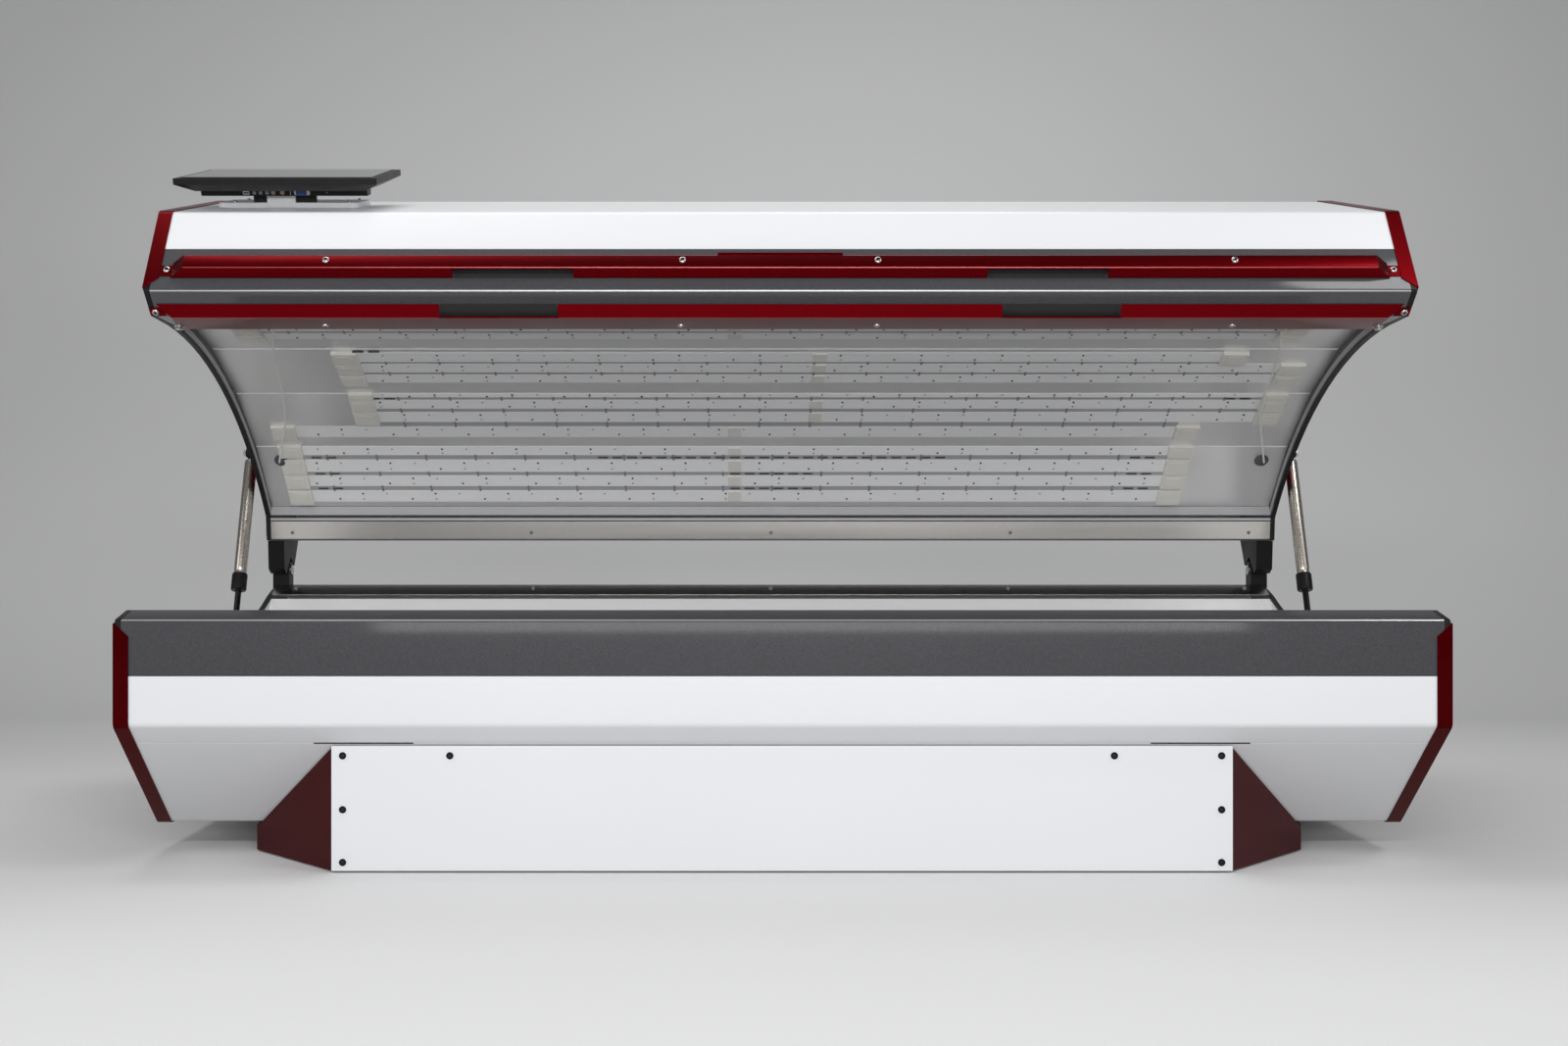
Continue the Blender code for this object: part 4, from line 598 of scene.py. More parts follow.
class BED_OT_dress_covers(bpy.types.Operator):
    """Paint the covers, nose trims, end caps and grip rails"""
    bl_idname = "bed.dress_covers"
    bl_label = "Dress covers"

    def execute(self, context):
        dress(["base_front_fascia", "base_belly_panel", "base_rear_cover", "canopy_front_fascia",
               "canopy_top_cover", "screen_stand"], "enamel_white")
        dress(["pedestal_front_panel", "pedestal_rear_panel"], "enamel_white", 0.0010)
        # The base nose trim takes the darker graphite: painted shade.
        dress(["base_nose_trim"], "enamel_graphite_base_painted_shade")
        dress(["canopy_nose_trim", "canopy_rear_rail"], "enamel_graphite")
        dress(both_sides("base_end_panel_{}") + both_sides("canopy_end_panel_{}"), "enamel_black", 0.0015)
        dress(both_sides("canopy_end_cap_{}"), "lacquer_red")
        # The base end caps and pedestal sides are the same red as the canopy caps, darkened as painted shade.
        dress(both_sides("base_end_cap_{}") + both_sides("pedestal_side_{}"), "lacquer_red_painted_shade")
        dress(["handle_rail_upper", "handle_rail_lower"], "lacquer_red")
        return {'FINISHED'}


class BED_OT_dress_metalwork(bpy.types.Operator):
    """Finish the frame, hinges, retainers, service pieces and screen"""
    bl_idname = "bed.dress_metalwork"
    bl_label = "Dress metalwork"

    def execute(self, context):
        dress(["base_rear_retainer", "canopy_rear_retainer"], "steel_polished", 0.0004)
        dress(both_sides("hinge_bracket_{}") + both_sides("hinge_arm_{}"), "steel_black", 0.0010)
        dress(["pedestal_frame"], "steel_black", 0.0030)
        dress(both_sides("strut_rod_{}"), "rod_dark", 0.0006)
        dress(["base_floor_pan"], "steel_galvanised")
        dress(["base_lamp_driver", "canopy_lamp_driver"], "driver_case")
        dress(["cooling_fan_frame", "cooling_fan_rotor", "power_inlet"], "plastic_black")
        dress(["screen_housing"], "plastic_black", 0.0022)
        dress(["screen_glass"], "glass_dark", 0.0004)
        feet = both_sides("levelling_foot_front_{}") + both_sides("levelling_foot_rear_{}")
        dress(feet, "rubber_dark", 0.0012)
        return {'FINISHED'}


class BED_OT_dress_clear_sheets(bpy.types.Operator):
    """Finish the clear sheets, the lamp boards behind them and the leads"""
    bl_idname = "bed.dress_clear_sheets"
    bl_label = "Dress clear sheets"

    def execute(self, context):
        dress(["base_acrylic", "canopy_acrylic"], "acrylic_clear", 0.0008)
        for half in ("base", "canopy"):
            dress([f"{half}_lamp_panel_{number + 1}" for number in range(BOARDS)], "lamp_board")
        dress(both_sides("canopy_lead_{}"), "cable_white", 0.0002)
        return {'FINISHED'}


def spaced(first, last, pitch):
    """Places a pitch apart, from the first up to the last."""
    place = first
    while place < last:
        yield place
        place += pitch


def draw_chips(shape, row, sizes, lead):
    """Two staggered lines of chips along a strip; lead shifts them along it."""
    _, start, end, (left, right, _) = row
    inset, margin = (end - start) * 0.27, 0.012
    radius, height = sizes.chip_radius, sizes.chip_height
    rings = [(radius, 0), (radius, height * 0.6), (radius * 0.6, height)]
    for y, shift in ((start + inset, 0.0), (end - inset, sizes.chip_stagger)):
        first = left + margin + (lead + shift) % sizes.chip_pitch
        for x in spaced(first, right - margin, sizes.chip_pitch):
            shape.turned((x, y, sizes.strip_height), rings, 8)


def draw_connectors(shape, row, sizes):
    """Connectors at both ends of a row, and a joiner between its two strips."""
    _, start, end, (left, right, joiner) = row
    lap, ledge, cap = 0.003, 0.010, 0.0012
    length, top = sizes.connector_length, sizes.connector_height
    for low, high in ((left - length, left + lap), (right - lap, right + length)):
        shape.block((low, start - lap, 0), (high, end + lap, top))
        shape.block((low + ledge, start + lap, top), (high - ledge, end - lap, top + cap))
    half, joiner_top = sizes.joiner_length / 2, sizes.strip_height + 0.002
    shape.block((joiner - half, start + lap, 0), (joiner + half, end - lap, joiner_top))


def draw_clips(shape, gaps, rows, places, sizes):
    """Holding clips and grey backing in the gaps between neighbouring rows of a board."""
    half, lap, gap_lap = 0.0022, 0.002, 0.0005
    top = sizes.strip_height + 0.001
    for row, following in zip(rows, rows[1:]):
        if row[0] != following[0]:
            continue
        shape.place = gaps.place = places[row[0]]
        left = max(row[3][0], following[3][0])
        right = min(row[3][1], following[3][1])
        low, high = row[2], following[1]
        gaps.block((left, low - gap_lap, LIFT), (right, high + gap_lap, 4 * LIFT))
        for x in spaced(left + sizes.clip_pitch / 2, right, sizes.clip_pitch):
            shape.block((x - half, low - lap, 0), (x + half, high + lap, top))


def add_lamps(half, rows, places, sizes):
    """Strips, chips, connectors and clips on one half's boards."""
    strips, chips, pale, connectors, clips, gaps = (Shape() for _ in range(6))
    first_lead, gap = 0.018, 0.0006
    for number, row in enumerate(rows):
        board, start, end, (left, right, joiner) = row
        lead = first_lead + number * sizes.row_shift
        for shape in (strips, chips, pale, connectors):
            shape.place = places[board]
        for low, high in ((left, joiner - gap), (joiner + gap, right)):
            strips.block((low, start, 2 * LIFT), (high, end, sizes.strip_height))
        draw_chips(chips, row, sizes, lead)
        draw_chips(pale, row, sizes, lead + sizes.pale_shift)
        draw_connectors(connectors, row, sizes)
    draw_clips(clips, gaps, rows, places, sizes)
    add_piece(strips, f"{half}_lamp_strips", ["lamp_strip"], half, "lamp_board", 0.0006)
    add_piece(chips, f"{half}_lamp_chips", ["chip_dark"], half, "black_plastic")
    add_piece(pale, f"{half}_pale_chips", ["chip_pale"], half, "lamp_board")
    add_piece(connectors, f"{half}_lamp_connectors", ["nylon_beige"], half, "white_cable", 0.0012)
    add_piece(clips, f"{half}_lamp_clips", ["clip_grey"], half, "galvanised_steel", 0.0006)
    add_piece(gaps, f"{half}_strip_gaps", ["gap_grey"], half, "lamp_board")


class BED_OT_add_canopy_lamps(bpy.types.Operator):
    """Add the canopy's lamp rows, board slots and lead grommets"""
    bl_idname = "bed.add_canopy_lamps"
    bl_label = "Add canopy lamps"

    def execute(self, context):
        sizes = context.scene.bed_lamps
        places = board_places(CANOPY, CANOPY_ARC_Z, 1, CANOPY_BOARDS)
        add_lamps("canopy", CANOPY_ROWS, places, sizes)
        # The board slots are near-black blocks: painted shade for the holes.
        slots = Shape()
        half_height, slack = 0.0014, 0.001
        top = sizes.strip_height + 0.0015
        for board, middle, left, right in CANOPY_SLOTS:
            slots.place = places[board]
            for x in spaced(left, right + slack - sizes.slot_length, sizes.slot_pitch):
                slots.block((x, middle - half_height, LIFT),
                            (x + sizes.slot_length, middle + half_height, top))
        add_piece(slots, "canopy_board_slots", ["hollow_painted_shade"], "canopy", "black_plastic", 0.0004)
        board, across, reach = LEAD_GROMMET
        grommets = Shape(places[board])
        rings = [(0.015, 0), (0.015, 0.003), (0.011, 0.005), (0.009, 0.0095), (0.004, 0.0100)]
        for side, _ in SIDES:
            grommets.turned((side * reach, across, 0), rings)
        add_piece(grommets, "canopy_lead_grommets", ["rubber_dark"], "canopy", "black_plastic")
        return {'FINISHED'}


class BED_OT_add_base_lamps(bpy.types.Operator):
    """Add the base's lamp rows"""
    bl_idname = "bed.add_base_lamps"
    bl_label = "Add base lamps"

    def execute(self, context):
        places = board_places(BASE, BASE_ARC_Z, -1, BASE_BOARDS)
        add_lamps("base", BASE_ROWS, places, context.scene.bed_lamps)
        return {'FINISHED'}


def add_liners(half, coat, carrier, sheet, rise, joints, ends):
    """Liners that close the room between a clear sheet and its boards, at the edges and both ends."""
    thick, clear, back = 0.0008, 1.0055, 1.0170
    liners = Shape(carrier)
    for (depth, z), end, side in zip(joints, ends, (-1, 1)):
        foot = (end, sheet[1] + rise * math.sqrt(clear ** 2 - (end - sheet[0]) ** 2))
        outline = [(depth, z), foot, (foot[0] + side * thick, foot[1]), (depth + side * thick, z)]
        liners.slab(outline, -LINER_HALF, LINER_HALF)
    first, last = (math.acos((end - sheet[0]) / clear) for end in ends)
    near = arc_points(sheet, clear, rise * first, rise * last)
    far = arc_points(sheet, back, rise * last, rise * first)
    for side, _ in SIDES:
        liners.slab(near + far, side * (LINER_HALF + 6 * LIFT), side * (LINER_HALF + 2 * LIFT))
    add_piece(liners, f"{half}_board_liners", [coat], half, "lamp_board")


def add_joint_lines(half, places):
    """Thin bright lines where two boards meet."""
    half_width, height = 0.0008, 0.0010
    lines = Shape()
    for place in places[1:]:
        lines.place = place
        lines.block((-LINE_HALF, -half_width, 2 * LIFT), (LINE_HALF, half_width, height))
    add_piece(lines, f"{half}_joint_lines", ["lamp_strip"], half, "lamp_board")


class BED_OT_add_board_liners(bpy.types.Operator):
    """Add the liners at the boards' edges and ends, and the joint lines"""
    bl_idname = "bed.add_board_liners"
    bl_label = "Add board liners"

    def execute(self, context):
        add_liners("canopy", "gap_grey", CANOPY, CANOPY_SHEET, 1,
                   ((0.1790, 0.5665), (0.8890, 0.5785)), (0.143, 0.893))
        add_liners("base", "lamp_strip", BASE, BASE_SHEET, -1,
                   ((0.1808, 0.3960), (0.9192, 0.3960)), (0.150, 0.950))
        add_joint_lines("canopy", board_places(CANOPY, CANOPY_ARC_Z, 1, CANOPY_BOARDS))
        add_joint_lines("base", board_places(BASE, BASE_ARC_Z, -1, BASE_BOARDS))
        return {'FINISHED'}


class BED_OT_add_sheet_edge(bpy.types.Operator):
    """Add the grey edge and the dark seal over the canopy's retainer"""
    bl_idname = "bed.add_sheet_edge"
    bl_label = "Add sheet edge"

    def execute(self, context):
        face = face_place(CANOPY, CANOPY_SILL, CANOPY_SHEET_BACK)
        for name, coat, slot, low, high, top in (
                ("canopy_sheet_edge", "gap_grey", "lamp_board", 0.0455, 0.0505, 0.0008),
                ("canopy_sheet_seal", "rubber_dark", "black_plastic", 0.0430, 0.0455, 0.0012)):
            strip = Shape(face)
            strip.block((-SHEET_HALF, low, LIFT), (SHEET_HALF, high, top))
            add_piece(strip, name, [coat], "canopy", slot, 0.0003)
        return {'FINISHED'}


class BED_OT_add_rail_ends(bpy.types.Operator):
    """Add the raised middle of the upper grip rail and the end tabs of the lower one"""
    bl_idname = "bed.add_rail_ends"
    bl_label = "Add rail ends"

    def execute(self, context):
        sheet, tab_foot = 0.0015, 3 * LIFT
        ends = Shape(upright(CANOPY, RAIL_FRONT))
        middle = [(-0.112, 0.5478), (0.112, 0.5478), (0.110, 0.5545), (-0.110, 0.5545)]
        ends.prism(middle, -sheet, 2 * LIFT)
        ends.place = face_place(CANOPY, CANOPY_RIM, CANOPY_NOSE)
        for side, _ in SIDES:
            low, high = sorted((side * 1.098, side * 1.1255))
            tab = rounded_outline((low, 0.0015), (high, 0.0205), 0.003)
            ends.prism(tab, tab_foot, tab_foot + sheet)
        add_piece(ends, "grip_rail_ends", ["lacquer_red"], "canopy", "candy_red", 0.0004)
        return {'FINISHED'}


def draw_edge_line(shape, fold, half_width, runs):
    """A thin pale strip on a rounded fold: a painted highlight."""
    spot, off = fold
    raise_by = 4 * LIFT
    normal = Vector(off).normalized()
    along = Vector((-normal.y, normal.x)) * half_width
    foot = [Vector(spot) + along, Vector(spot) - along]
    outline = foot + [point + normal * raise_by for point in reversed(foot)]
    for low, high in runs:
        shape.slab(outline, low, high)


class BED_OT_add_edge_lines(bpy.types.Operator):
    """Add painted highlight lines along the folds of the nose trims and grip rails"""
    bl_idname = "bed.add_edge_lines"
    bl_label = "Add painted highlights"

    def execute(self, context):
        trim_width, rail_width = 0.0011, 0.0007
        for half, carrier, fold in (("base", BASE, BASE_FOLD), ("canopy", CANOPY, CANOPY_FOLD)):
            line = Shape(carrier)
            draw_edge_line(line, fold, trim_width, ((-LINE_HALF, LINE_HALF),))
            add_piece(line, f"{half}_nose_painted_highlight", ["graphite_painted_highlight"], half, "graphite_enamel")
        rails = Shape(CANOPY)
        draw_edge_line(rails, UPPER_RAIL_FOLD, rail_width, ((-1.056, 1.056),))
        runs = ((-1.085, -0.609), (-0.394, 0.394), (0.609, 1.085))
        draw_edge_line(rails, LOWER_RAIL_FOLD, rail_width, runs)
        add_piece(rails, "grip_rail_painted_highlights", ["lacquer_painted_highlight"], "canopy", "candy_red")
        return {'FINISHED'}


class BED_OT_add_grip_pads(bpy.types.Operator):
    """Add the dark pads in the finger cut-outs of the grip rails: painted shade where the rails shade the
    trim
    """
    bl_idname = "bed.add_grip_pads"
    bl_label = "Add grip shade pads"

    def execute(self, context):
        upper = upright(CANOPY, CANOPY_NOSE[0])
        lower = face_place(CANOPY, CANOPY_NOSE, CANOPY_RIM, flip=True)
        # Near-black sheets on the trim behind the cut-outs, as painted shade.
        pads = Shape()
        for place, across, along in ((upper, (0.369, 0.579), (0.5140, 0.5300)),
                                     (lower, (0.398, 0.605), (0.0290, 0.0560))):
            pads.place = place
            for side in (-1, 1):
                ends = sorted(side * value for value in across)
                pads.block((ends[0], along[0], LIFT), (ends[1], along[1], 6 * LIFT))
        add_piece(pads, "grip_shade_pads", ["rubber_dark"], "canopy", "black_plastic")
        return {'FINISHED'}


def draw_heads(shape, spots, radius, sizes):
    """Socket heads at spots on a face."""
    for spot in spots:
        shape.socket_head(spot, radius, radius * sizes.head_height)


class BED_OT_add_pedestal_bolts(bpy.types.Operator):
    """Add the pedestal panels' black bolts"""
    bl_idname = "bed.add_pedestal_bolts"
    bl_label = "Add pedestal bolts"

    def execute(self, context):
        sizes = context.scene.bed_fasteners
        bolts = Shape()
        spots = [(side * 0.750, z, 0) for side, _ in SIDES for z in (0.018, 0.108, 0.200)]
        spots += [(side * 0.567, 0.200, 0) for side, _ in SIDES]
        for depth, flip in ((PEDESTAL_FRONT, False), (PEDESTAL_REAR, True)):
            bolts.place = upright(BASE, depth, flip)
            draw_heads(bolts, spots, sizes.bolt_radius, sizes)
        add_piece(bolts, "pedestal_bolts", ["steel_black", "hollow_painted_shade"], "base", "black_steel")
        return {'FINISHED'}


class BED_OT_add_rail_screws(bpy.types.Operator):
    """Add the screws and end bolts of the grip rails"""
    bl_idname = "bed.add_rail_screws"
    bl_label = "Add rail screws"

    def execute(self, context):
        sizes = context.scene.bed_fasteners
        bolt_radius, bolt_height = 0.0080, 0.0070
        lower_rail = face_place(CANOPY, LOWER_RAIL_HEEL, LOWER_RAIL_TIP)
        faces = ((upright(CANOPY, RAIL_FRONT), ((0.173, 0.5365, 0), (0.805, 0.5365, 0))),
                 (upright(CANOPY, RAIL_ROOT), ((1.0915, 0.5315, 0),)),
                 (face_place(CANOPY, CANOPY_RIM, CANOPY_NOSE), ((1.1145, 0.0110, 0.0018),)),
                 (lower_rail, ((0.179, 0.050, 0), (0.828, 0.050, 0))))
        rails = Shape()
        for side, _ in SIDES:
            for place, spots in faces:
                rails.place = place
                draw_heads(rails, [(side * x, y, z) for x, y, z in spots], sizes.screw_radius, sizes)
            rails.hex_bolt((side * 1.100, 0.036, 0), bolt_radius, bolt_height)
        add_piece(rails, "grip_rail_screws", ["steel_bright", "hollow_painted_shade"], "canopy", "polished_steel")
        return {'FINISHED'}


class BED_OT_add_retainer_screws(bpy.types.Operator):
    """Add the screws along the steel retainers"""
    bl_idname = "bed.add_retainer_screws"
    bl_label = "Add retainer screws"

    def execute(self, context):
        sizes = context.scene.bed_fasteners
        along_bed = (-1.068, -0.534, 0.001, 0.536, 1.068)
        for body, carrier, start, end, across in (
                ("canopy", CANOPY, CANOPY_SILL, CANOPY_SHEET_BACK, 0.018),
                ("base", BASE, BASE_RETAINER_TOE, BASE_RETAINER_BROW, 0.030)):
            screws = Shape(face_place(carrier, start, end))
            draw_heads(screws, [(x, across, 0) for x in along_bed], sizes.small_radius, sizes)
            add_piece(screws, f"{body}_retainer_screws", ["clip_grey", "hollow_painted_shade"], body, "polished_steel")
        return {'FINISHED'}


class BED_OT_add_cover_screws(bpy.types.Operator):
    """Add the screws that hold the rear and top covers"""
    bl_idname = "bed.add_cover_screws"
    bl_label = "Add cover screws"

    def execute(self, context):
        sizes = context.scene.bed_fasteners
        along_bed = [1.040 * step / 3 for step in range(-3, 4)]
        canopy_faces = ((CANOPY, [(x, 0.335, CANOPY_TOP_Z) for x in along_bed]),
                        (upright(CANOPY, REAR_FACE, True), [(x, 0.636, 0) for x in along_bed]))
        base_spots = [(x, z, 0) for x in along_bed for z in (0.275, 0.418)]
        base_faces = ((upright(BASE, REAR_FACE, True), base_spots),)
        for body, faces in (("canopy", canopy_faces), ("base", base_faces)):
            screws = Shape()
            for place, spots in faces:
                screws.place = place
                draw_heads(screws, spots, sizes.small_radius, sizes)
            add_piece(screws, f"{body}_cover_screws", ["steel_bright", "hollow_painted_shade"], body, "polished_steel")
        return {'FINISHED'}


class BED_OT_add_rear_louvres(bpy.types.Operator):
    """Add the louvres in the base's rear cover and the sockets of its inlet"""
    bl_idname = "bed.add_rear_louvres"
    bl_label = "Add rear louvres"

    def execute(self, context):
        face = upright(BASE, REAR_FACE, True)
        louvres = Shape(face)
        length, height, reach = 0.150, 0.0075, 0.0048
        lowest, pitch, count = 0.300, 0.0135, 7
        for middle in (-0.20, 0.10, 0.40):
            for number in range(count):
                z = lowest + number * pitch
                low, high = middle - length / 2, middle + length / 2
                hood = [(low, z, 0), (high, z, 0), (high - reach, z, reach), (low + reach, z, reach),
                        (low + reach, z + height, 0), (high - reach, z + height, 0)]
                louvres.add(hood, [(2, 3, 4, 5), (0, 3, 4), (1, 2, 5)])
                # The mouth under each hood is a near-black face: painted shade for the opening.
                louvres.add(hood[:4], [(0, 1, 2, 3)], 1)
        add_piece(louvres, "rear_louvres", ["enamel_white", "hollow_painted_shade"], "base", "white_enamel")
        socket = Shape(face)
        middle, z, front = -0.500, 0.324, 0.0033
        half_width, half_height, corner = 0.0135, 0.0095, 0.004
        mouth = rounded_outline((middle - half_width, z - half_height),
                                (middle + half_width, z + half_height), corner)
        # The inlet's mouth is a near-black plate: painted shade for its recess.
        socket.prism(mouth, front - 0.001, front + 3 * LIFT)
        blade_width, blade_height, blade_reach = 0.001, 0.002, 0.0022
        for x, rise in ((-0.007, -0.002), (0.0, 0.003), (0.007, -0.002)):
            socket.block((middle + x - blade_width, z + rise - blade_height, front),
                         (middle + x + blade_width, z + rise + blade_height, front + blade_reach), 1)
        screw_apart, screw_radius, screw_height = 0.0285, 0.003, 0.0017
        for side, _ in SIDES:
            socket.socket_head((middle + side * screw_apart, z, front), screw_radius, screw_height, 1, 0)
        add_piece(socket, "inlet_socket", ["hollow_painted_shade", "steel_bright"], "base", "black_plastic", 0.0002)
        return {'FINISHED'}


class BED_OT_add_fan_guard(bpy.types.Operator):
    """Add the wire guard under the cooling fan"""
    bl_idname = "bed.add_fan_guard"
    bl_label = "Add fan guard"

    def execute(self, context):
        guard = Shape(BASE)
        x, depth, z, wire = -0.450, MID_DEPTH, FLOOR_PAN_Z - 0.0013, 0.0010
        turns = [math.tau * step / 8 for step in range(8)]
        for radius in (0.020, 0.032, 0.044, 0.056):
            section = [(radius + wire * math.cos(turn), wire * math.sin(turn)) for turn in turns]
            guard.hoop((x, depth, z), section)
        reach = 0.052
        for turn in (1, -1):
            bar = [(x - reach, depth - turn * reach), (x + reach, depth + turn * reach)]
            guard.prism([bar[0], (bar[0][0] + wire, bar[0][1]), bar[1], (bar[1][0] - wire, bar[1][1])],
                        z - wire, z + wire)
        add_piece(guard, "fan_guard", ["steel_bright"], "base", "polished_steel")
        return {'FINISHED'}


def strut_line(hand):
    """A gas strut's foot and the way it points."""
    return Vector(JOINTS[f"strut_swing_{hand}"]["pos_m"]), Vector(JOINTS[f"strut_slide_{hand}"]["axis"])


class BED_OT_add_struts(bpy.types.Operator):
    """Replace the gas struts' tubes with a nickel tube, a black collar and an eye"""
    bl_idname = "bed.add_struts"
    bl_label = "Add gas struts"

    def execute(self, context):
        rod_showing, collar, shoulder = 0.160, 0.038, 0.4600
        low, high = rod_showing, rod_showing + collar
        sleeve = [(0.0070, low), (0.0148, low), (0.0164, low + 0.002), (0.0164, high - 0.003),
                  (0.0150, high), (0.0136, high)]
        barrel = [(0.0132, high - 0.001), (0.0132, high + 0.004), (0.0124, high + 0.006),
                  (0.0132, high + 0.008), (0.0135, high + 0.012), (0.0135, shoulder - 0.006),
                  (0.0122, shoulder - 0.001), (0.0060, shoulder)]
        neck = [(0.0060, shoulder - 0.001), (0.0060, STRUT_REACH - 0.010)]
        outer, bore, half, edge = 0.0145, 0.0088, 0.007, 0.001
        eye = [(bore, -half), (outer - edge, -half), (outer, edge - half), (outer, half - edge),
               (outer - edge, half), (bore, half)]
        for _, hand in SIDES:
            foot, axis = strut_line(hand)
            strut = Shape(Matrix.Translation(foot) @ Matrix.Rotation(-math.atan2(axis.y, axis.z), 4, 'X'))
            for rings, sides, coat in ((sleeve, 40, 1), (barrel, 40, 0), (neck, 24, 1)):
                strut.turned((0, 0, 0), rings, sides, coat)
            strut.hoop((0, 0, STRUT_REACH), eye, 1, 'X')
            tube = add_piece(strut, f"strut_tube_{hand}", ["nickel_brushed", "plastic_black"],
                             f"strut_tube_body_{hand}", "brushed_nickel")
            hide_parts(f"strut_cylinder_{hand}")
        return {'FINISHED'}


class BED_OT_add_hinge_pins(bpy.types.Operator):
    """Add the heads of the hinge pins and the guards in front of them"""
    bl_idname = "bed.add_hinge_pins"
    bl_label = "Add hinge pins"

    def execute(self, context):
        pins, guards = Shape(BASE), Shape(BASE)
        inner = HALF - HINGE_END_GAP - HINGE_HALF_WIDTH
        outer = inner + 2 * HINGE_HALF_WIDTH
        rings = [(0.0115, 0), (0.0115, 0.0022), (0.0095, 0.0030), (0.0060, 0.0048), (0.0025, 0.0050)]
        front, thick = HINGE_DEPTH - 0.0225, 0.0025
        for side, _ in SIDES:
            spot = (side * inner, HINGE_DEPTH, HINGE.z)
            pins.turned(spot, [(radius, -side * height) for radius, height in rings], 24, 0, 'X')
            low, high = sorted((side * inner, side * outer))
            guards.block((low, front, BASE_DECK_Z + 2 * LIFT), (high, front + thick, HINGE.z - 0.001))
        add_piece(pins, "hinge_pin_heads", ["steel_bright"], "base", "polished_steel")
        add_piece(guards, "hinge_guards", ["steel_black"], "base", "black_steel", 0.0005)
        return {'FINISHED'}


class BED_OT_add_stud_nuts(bpy.types.Operator):
    """Add the nuts on the gas struts' studs"""
    bl_idname = "bed.add_stud_nuts"
    bl_label = "Add stud nuts"

    def execute(self, context):
        head_end, room = 1.1624, 0.0060
        rings = [(0.0090, 0, 6), (0.0090, room * 0.7, 6), (0.0062, room * 0.8), (0.0050, room)]
        feet, heads = Shape(), Shape()
        for side, hand in SIDES:
            foot, axis = strut_line(hand)
            spot = Vector((side * head_end, foot.y, foot.z))
            nut = [(radius, side * height, *corners) for radius, height, *corners in rings]
            feet.turned(spot, nut, 24, 0, 'X')
            heads.turned(spot + axis * STRUT_REACH, nut, 24, 0, 'X')
        add_piece(feet, "strut_foot_nuts", ["steel_bright"], "base", "polished_steel")
        add_piece(heads, "strut_head_nuts", ["steel_bright"], "canopy", "polished_steel")
        return {'FINISHED'}


def draw_port(shape, ends, half, corner, heights, coat):
    """A rounded port on the port line, from one end to the other."""
    outline = rounded_outline((ends[0], PORT_LINE - half), (ends[1], PORT_LINE + half), corner)
    shape.prism(outline, *heights, coat)


class BED_OT_add_screen_details(bpy.types.Operator):
    """Add the screen's port lip, ports and bezel"""
    bl_idname = "bed.add_screen_details"
    bl_label = "Add screen details"

    def execute(self, context):
        lip = Shape(SCREEN)
        front, back, lean, half = 0.085, 0.115, 0.004, 0.155
        low, high = 0.0245, 0.0362
        lip.slab([(front, low), (back, low), (back + lean, high), (front - lean, high)], -half, half)
        add_piece(lip, "screen_port_lip", ["plastic_black"], "screen", "black_plastic", 0.0008)
        ports = Shape(face_place(SCREEN, (front, low), (front - lean, high)))
        draw_port(ports, (-0.0765, -0.0645), 0.0040, 0.0008, (0, 0.0008), 0)
        # A near-black block on the first port: painted shade for its hollow.
        ports.block((-0.0750, PORT_LINE - 0.0012, 0.0008), (-0.0660, PORT_LINE + 0.0012, 0.0012), 1)
        jack = [(0.0036, 0), (0.0036, 0.0010), (0.0024, 0.0011), (0.0023, 0.0004)]
        for x in (-0.0554, -0.0439, -0.0315):
            ports.turned((x, PORT_LINE, 0), jack, 20, 4)
        for x in (-0.0200, -0.0031):
            ports.turned((x, PORT_LINE, 0), [(radius * 1.2, height) for radius, height in jack], 20, 2)
        ports.block((0.0116, PORT_LINE - 0.0045, 0), (0.0126, PORT_LINE + 0.0045, 0.0008), 0)
        draw_port(ports, (0.0188, 0.0485), 0.0048, 0.003, (0, 0.0010), 0)
        draw_port(ports, (0.0220, 0.0425), 0.0042, 0.002, (0.0010, 0.0016), 3)
        ports.turned((0.080, PORT_LINE, 0), [(0.0014, 0), (0.0014, 0.0006)], 12, 4)
        add_piece(ports, "screen_ports",
                  ["steel_bright", "hollow_painted_shade", "brass_contact", "port_blue", "clip_grey"],
                  "screen", "polished_steel", 0.0002)
        bezel = Shape(SCREEN)
        low, high, top = (-0.1845, 0.0235), (0.1845, 0.2565), 0.0610
        glass_low, glass_high = (-0.1737, 0.0343), (0.1737, 0.2457)
        for a, b in ((low, (high[0], glass_low[1])), ((low[0], glass_high[1]), high),
                     ((low[0], glass_low[1]), (glass_low[0], glass_high[1])),
                     ((glass_high[0], glass_low[1]), (high[0], glass_high[1]))):
            bezel.block((*a, top - 5 * LIFT), (*b, top + 4 * LIFT))
        add_piece(bezel, "screen_bezel", ["plastic_black"], "screen", "black_plastic", 0.0004)
        return {'FINISHED'}


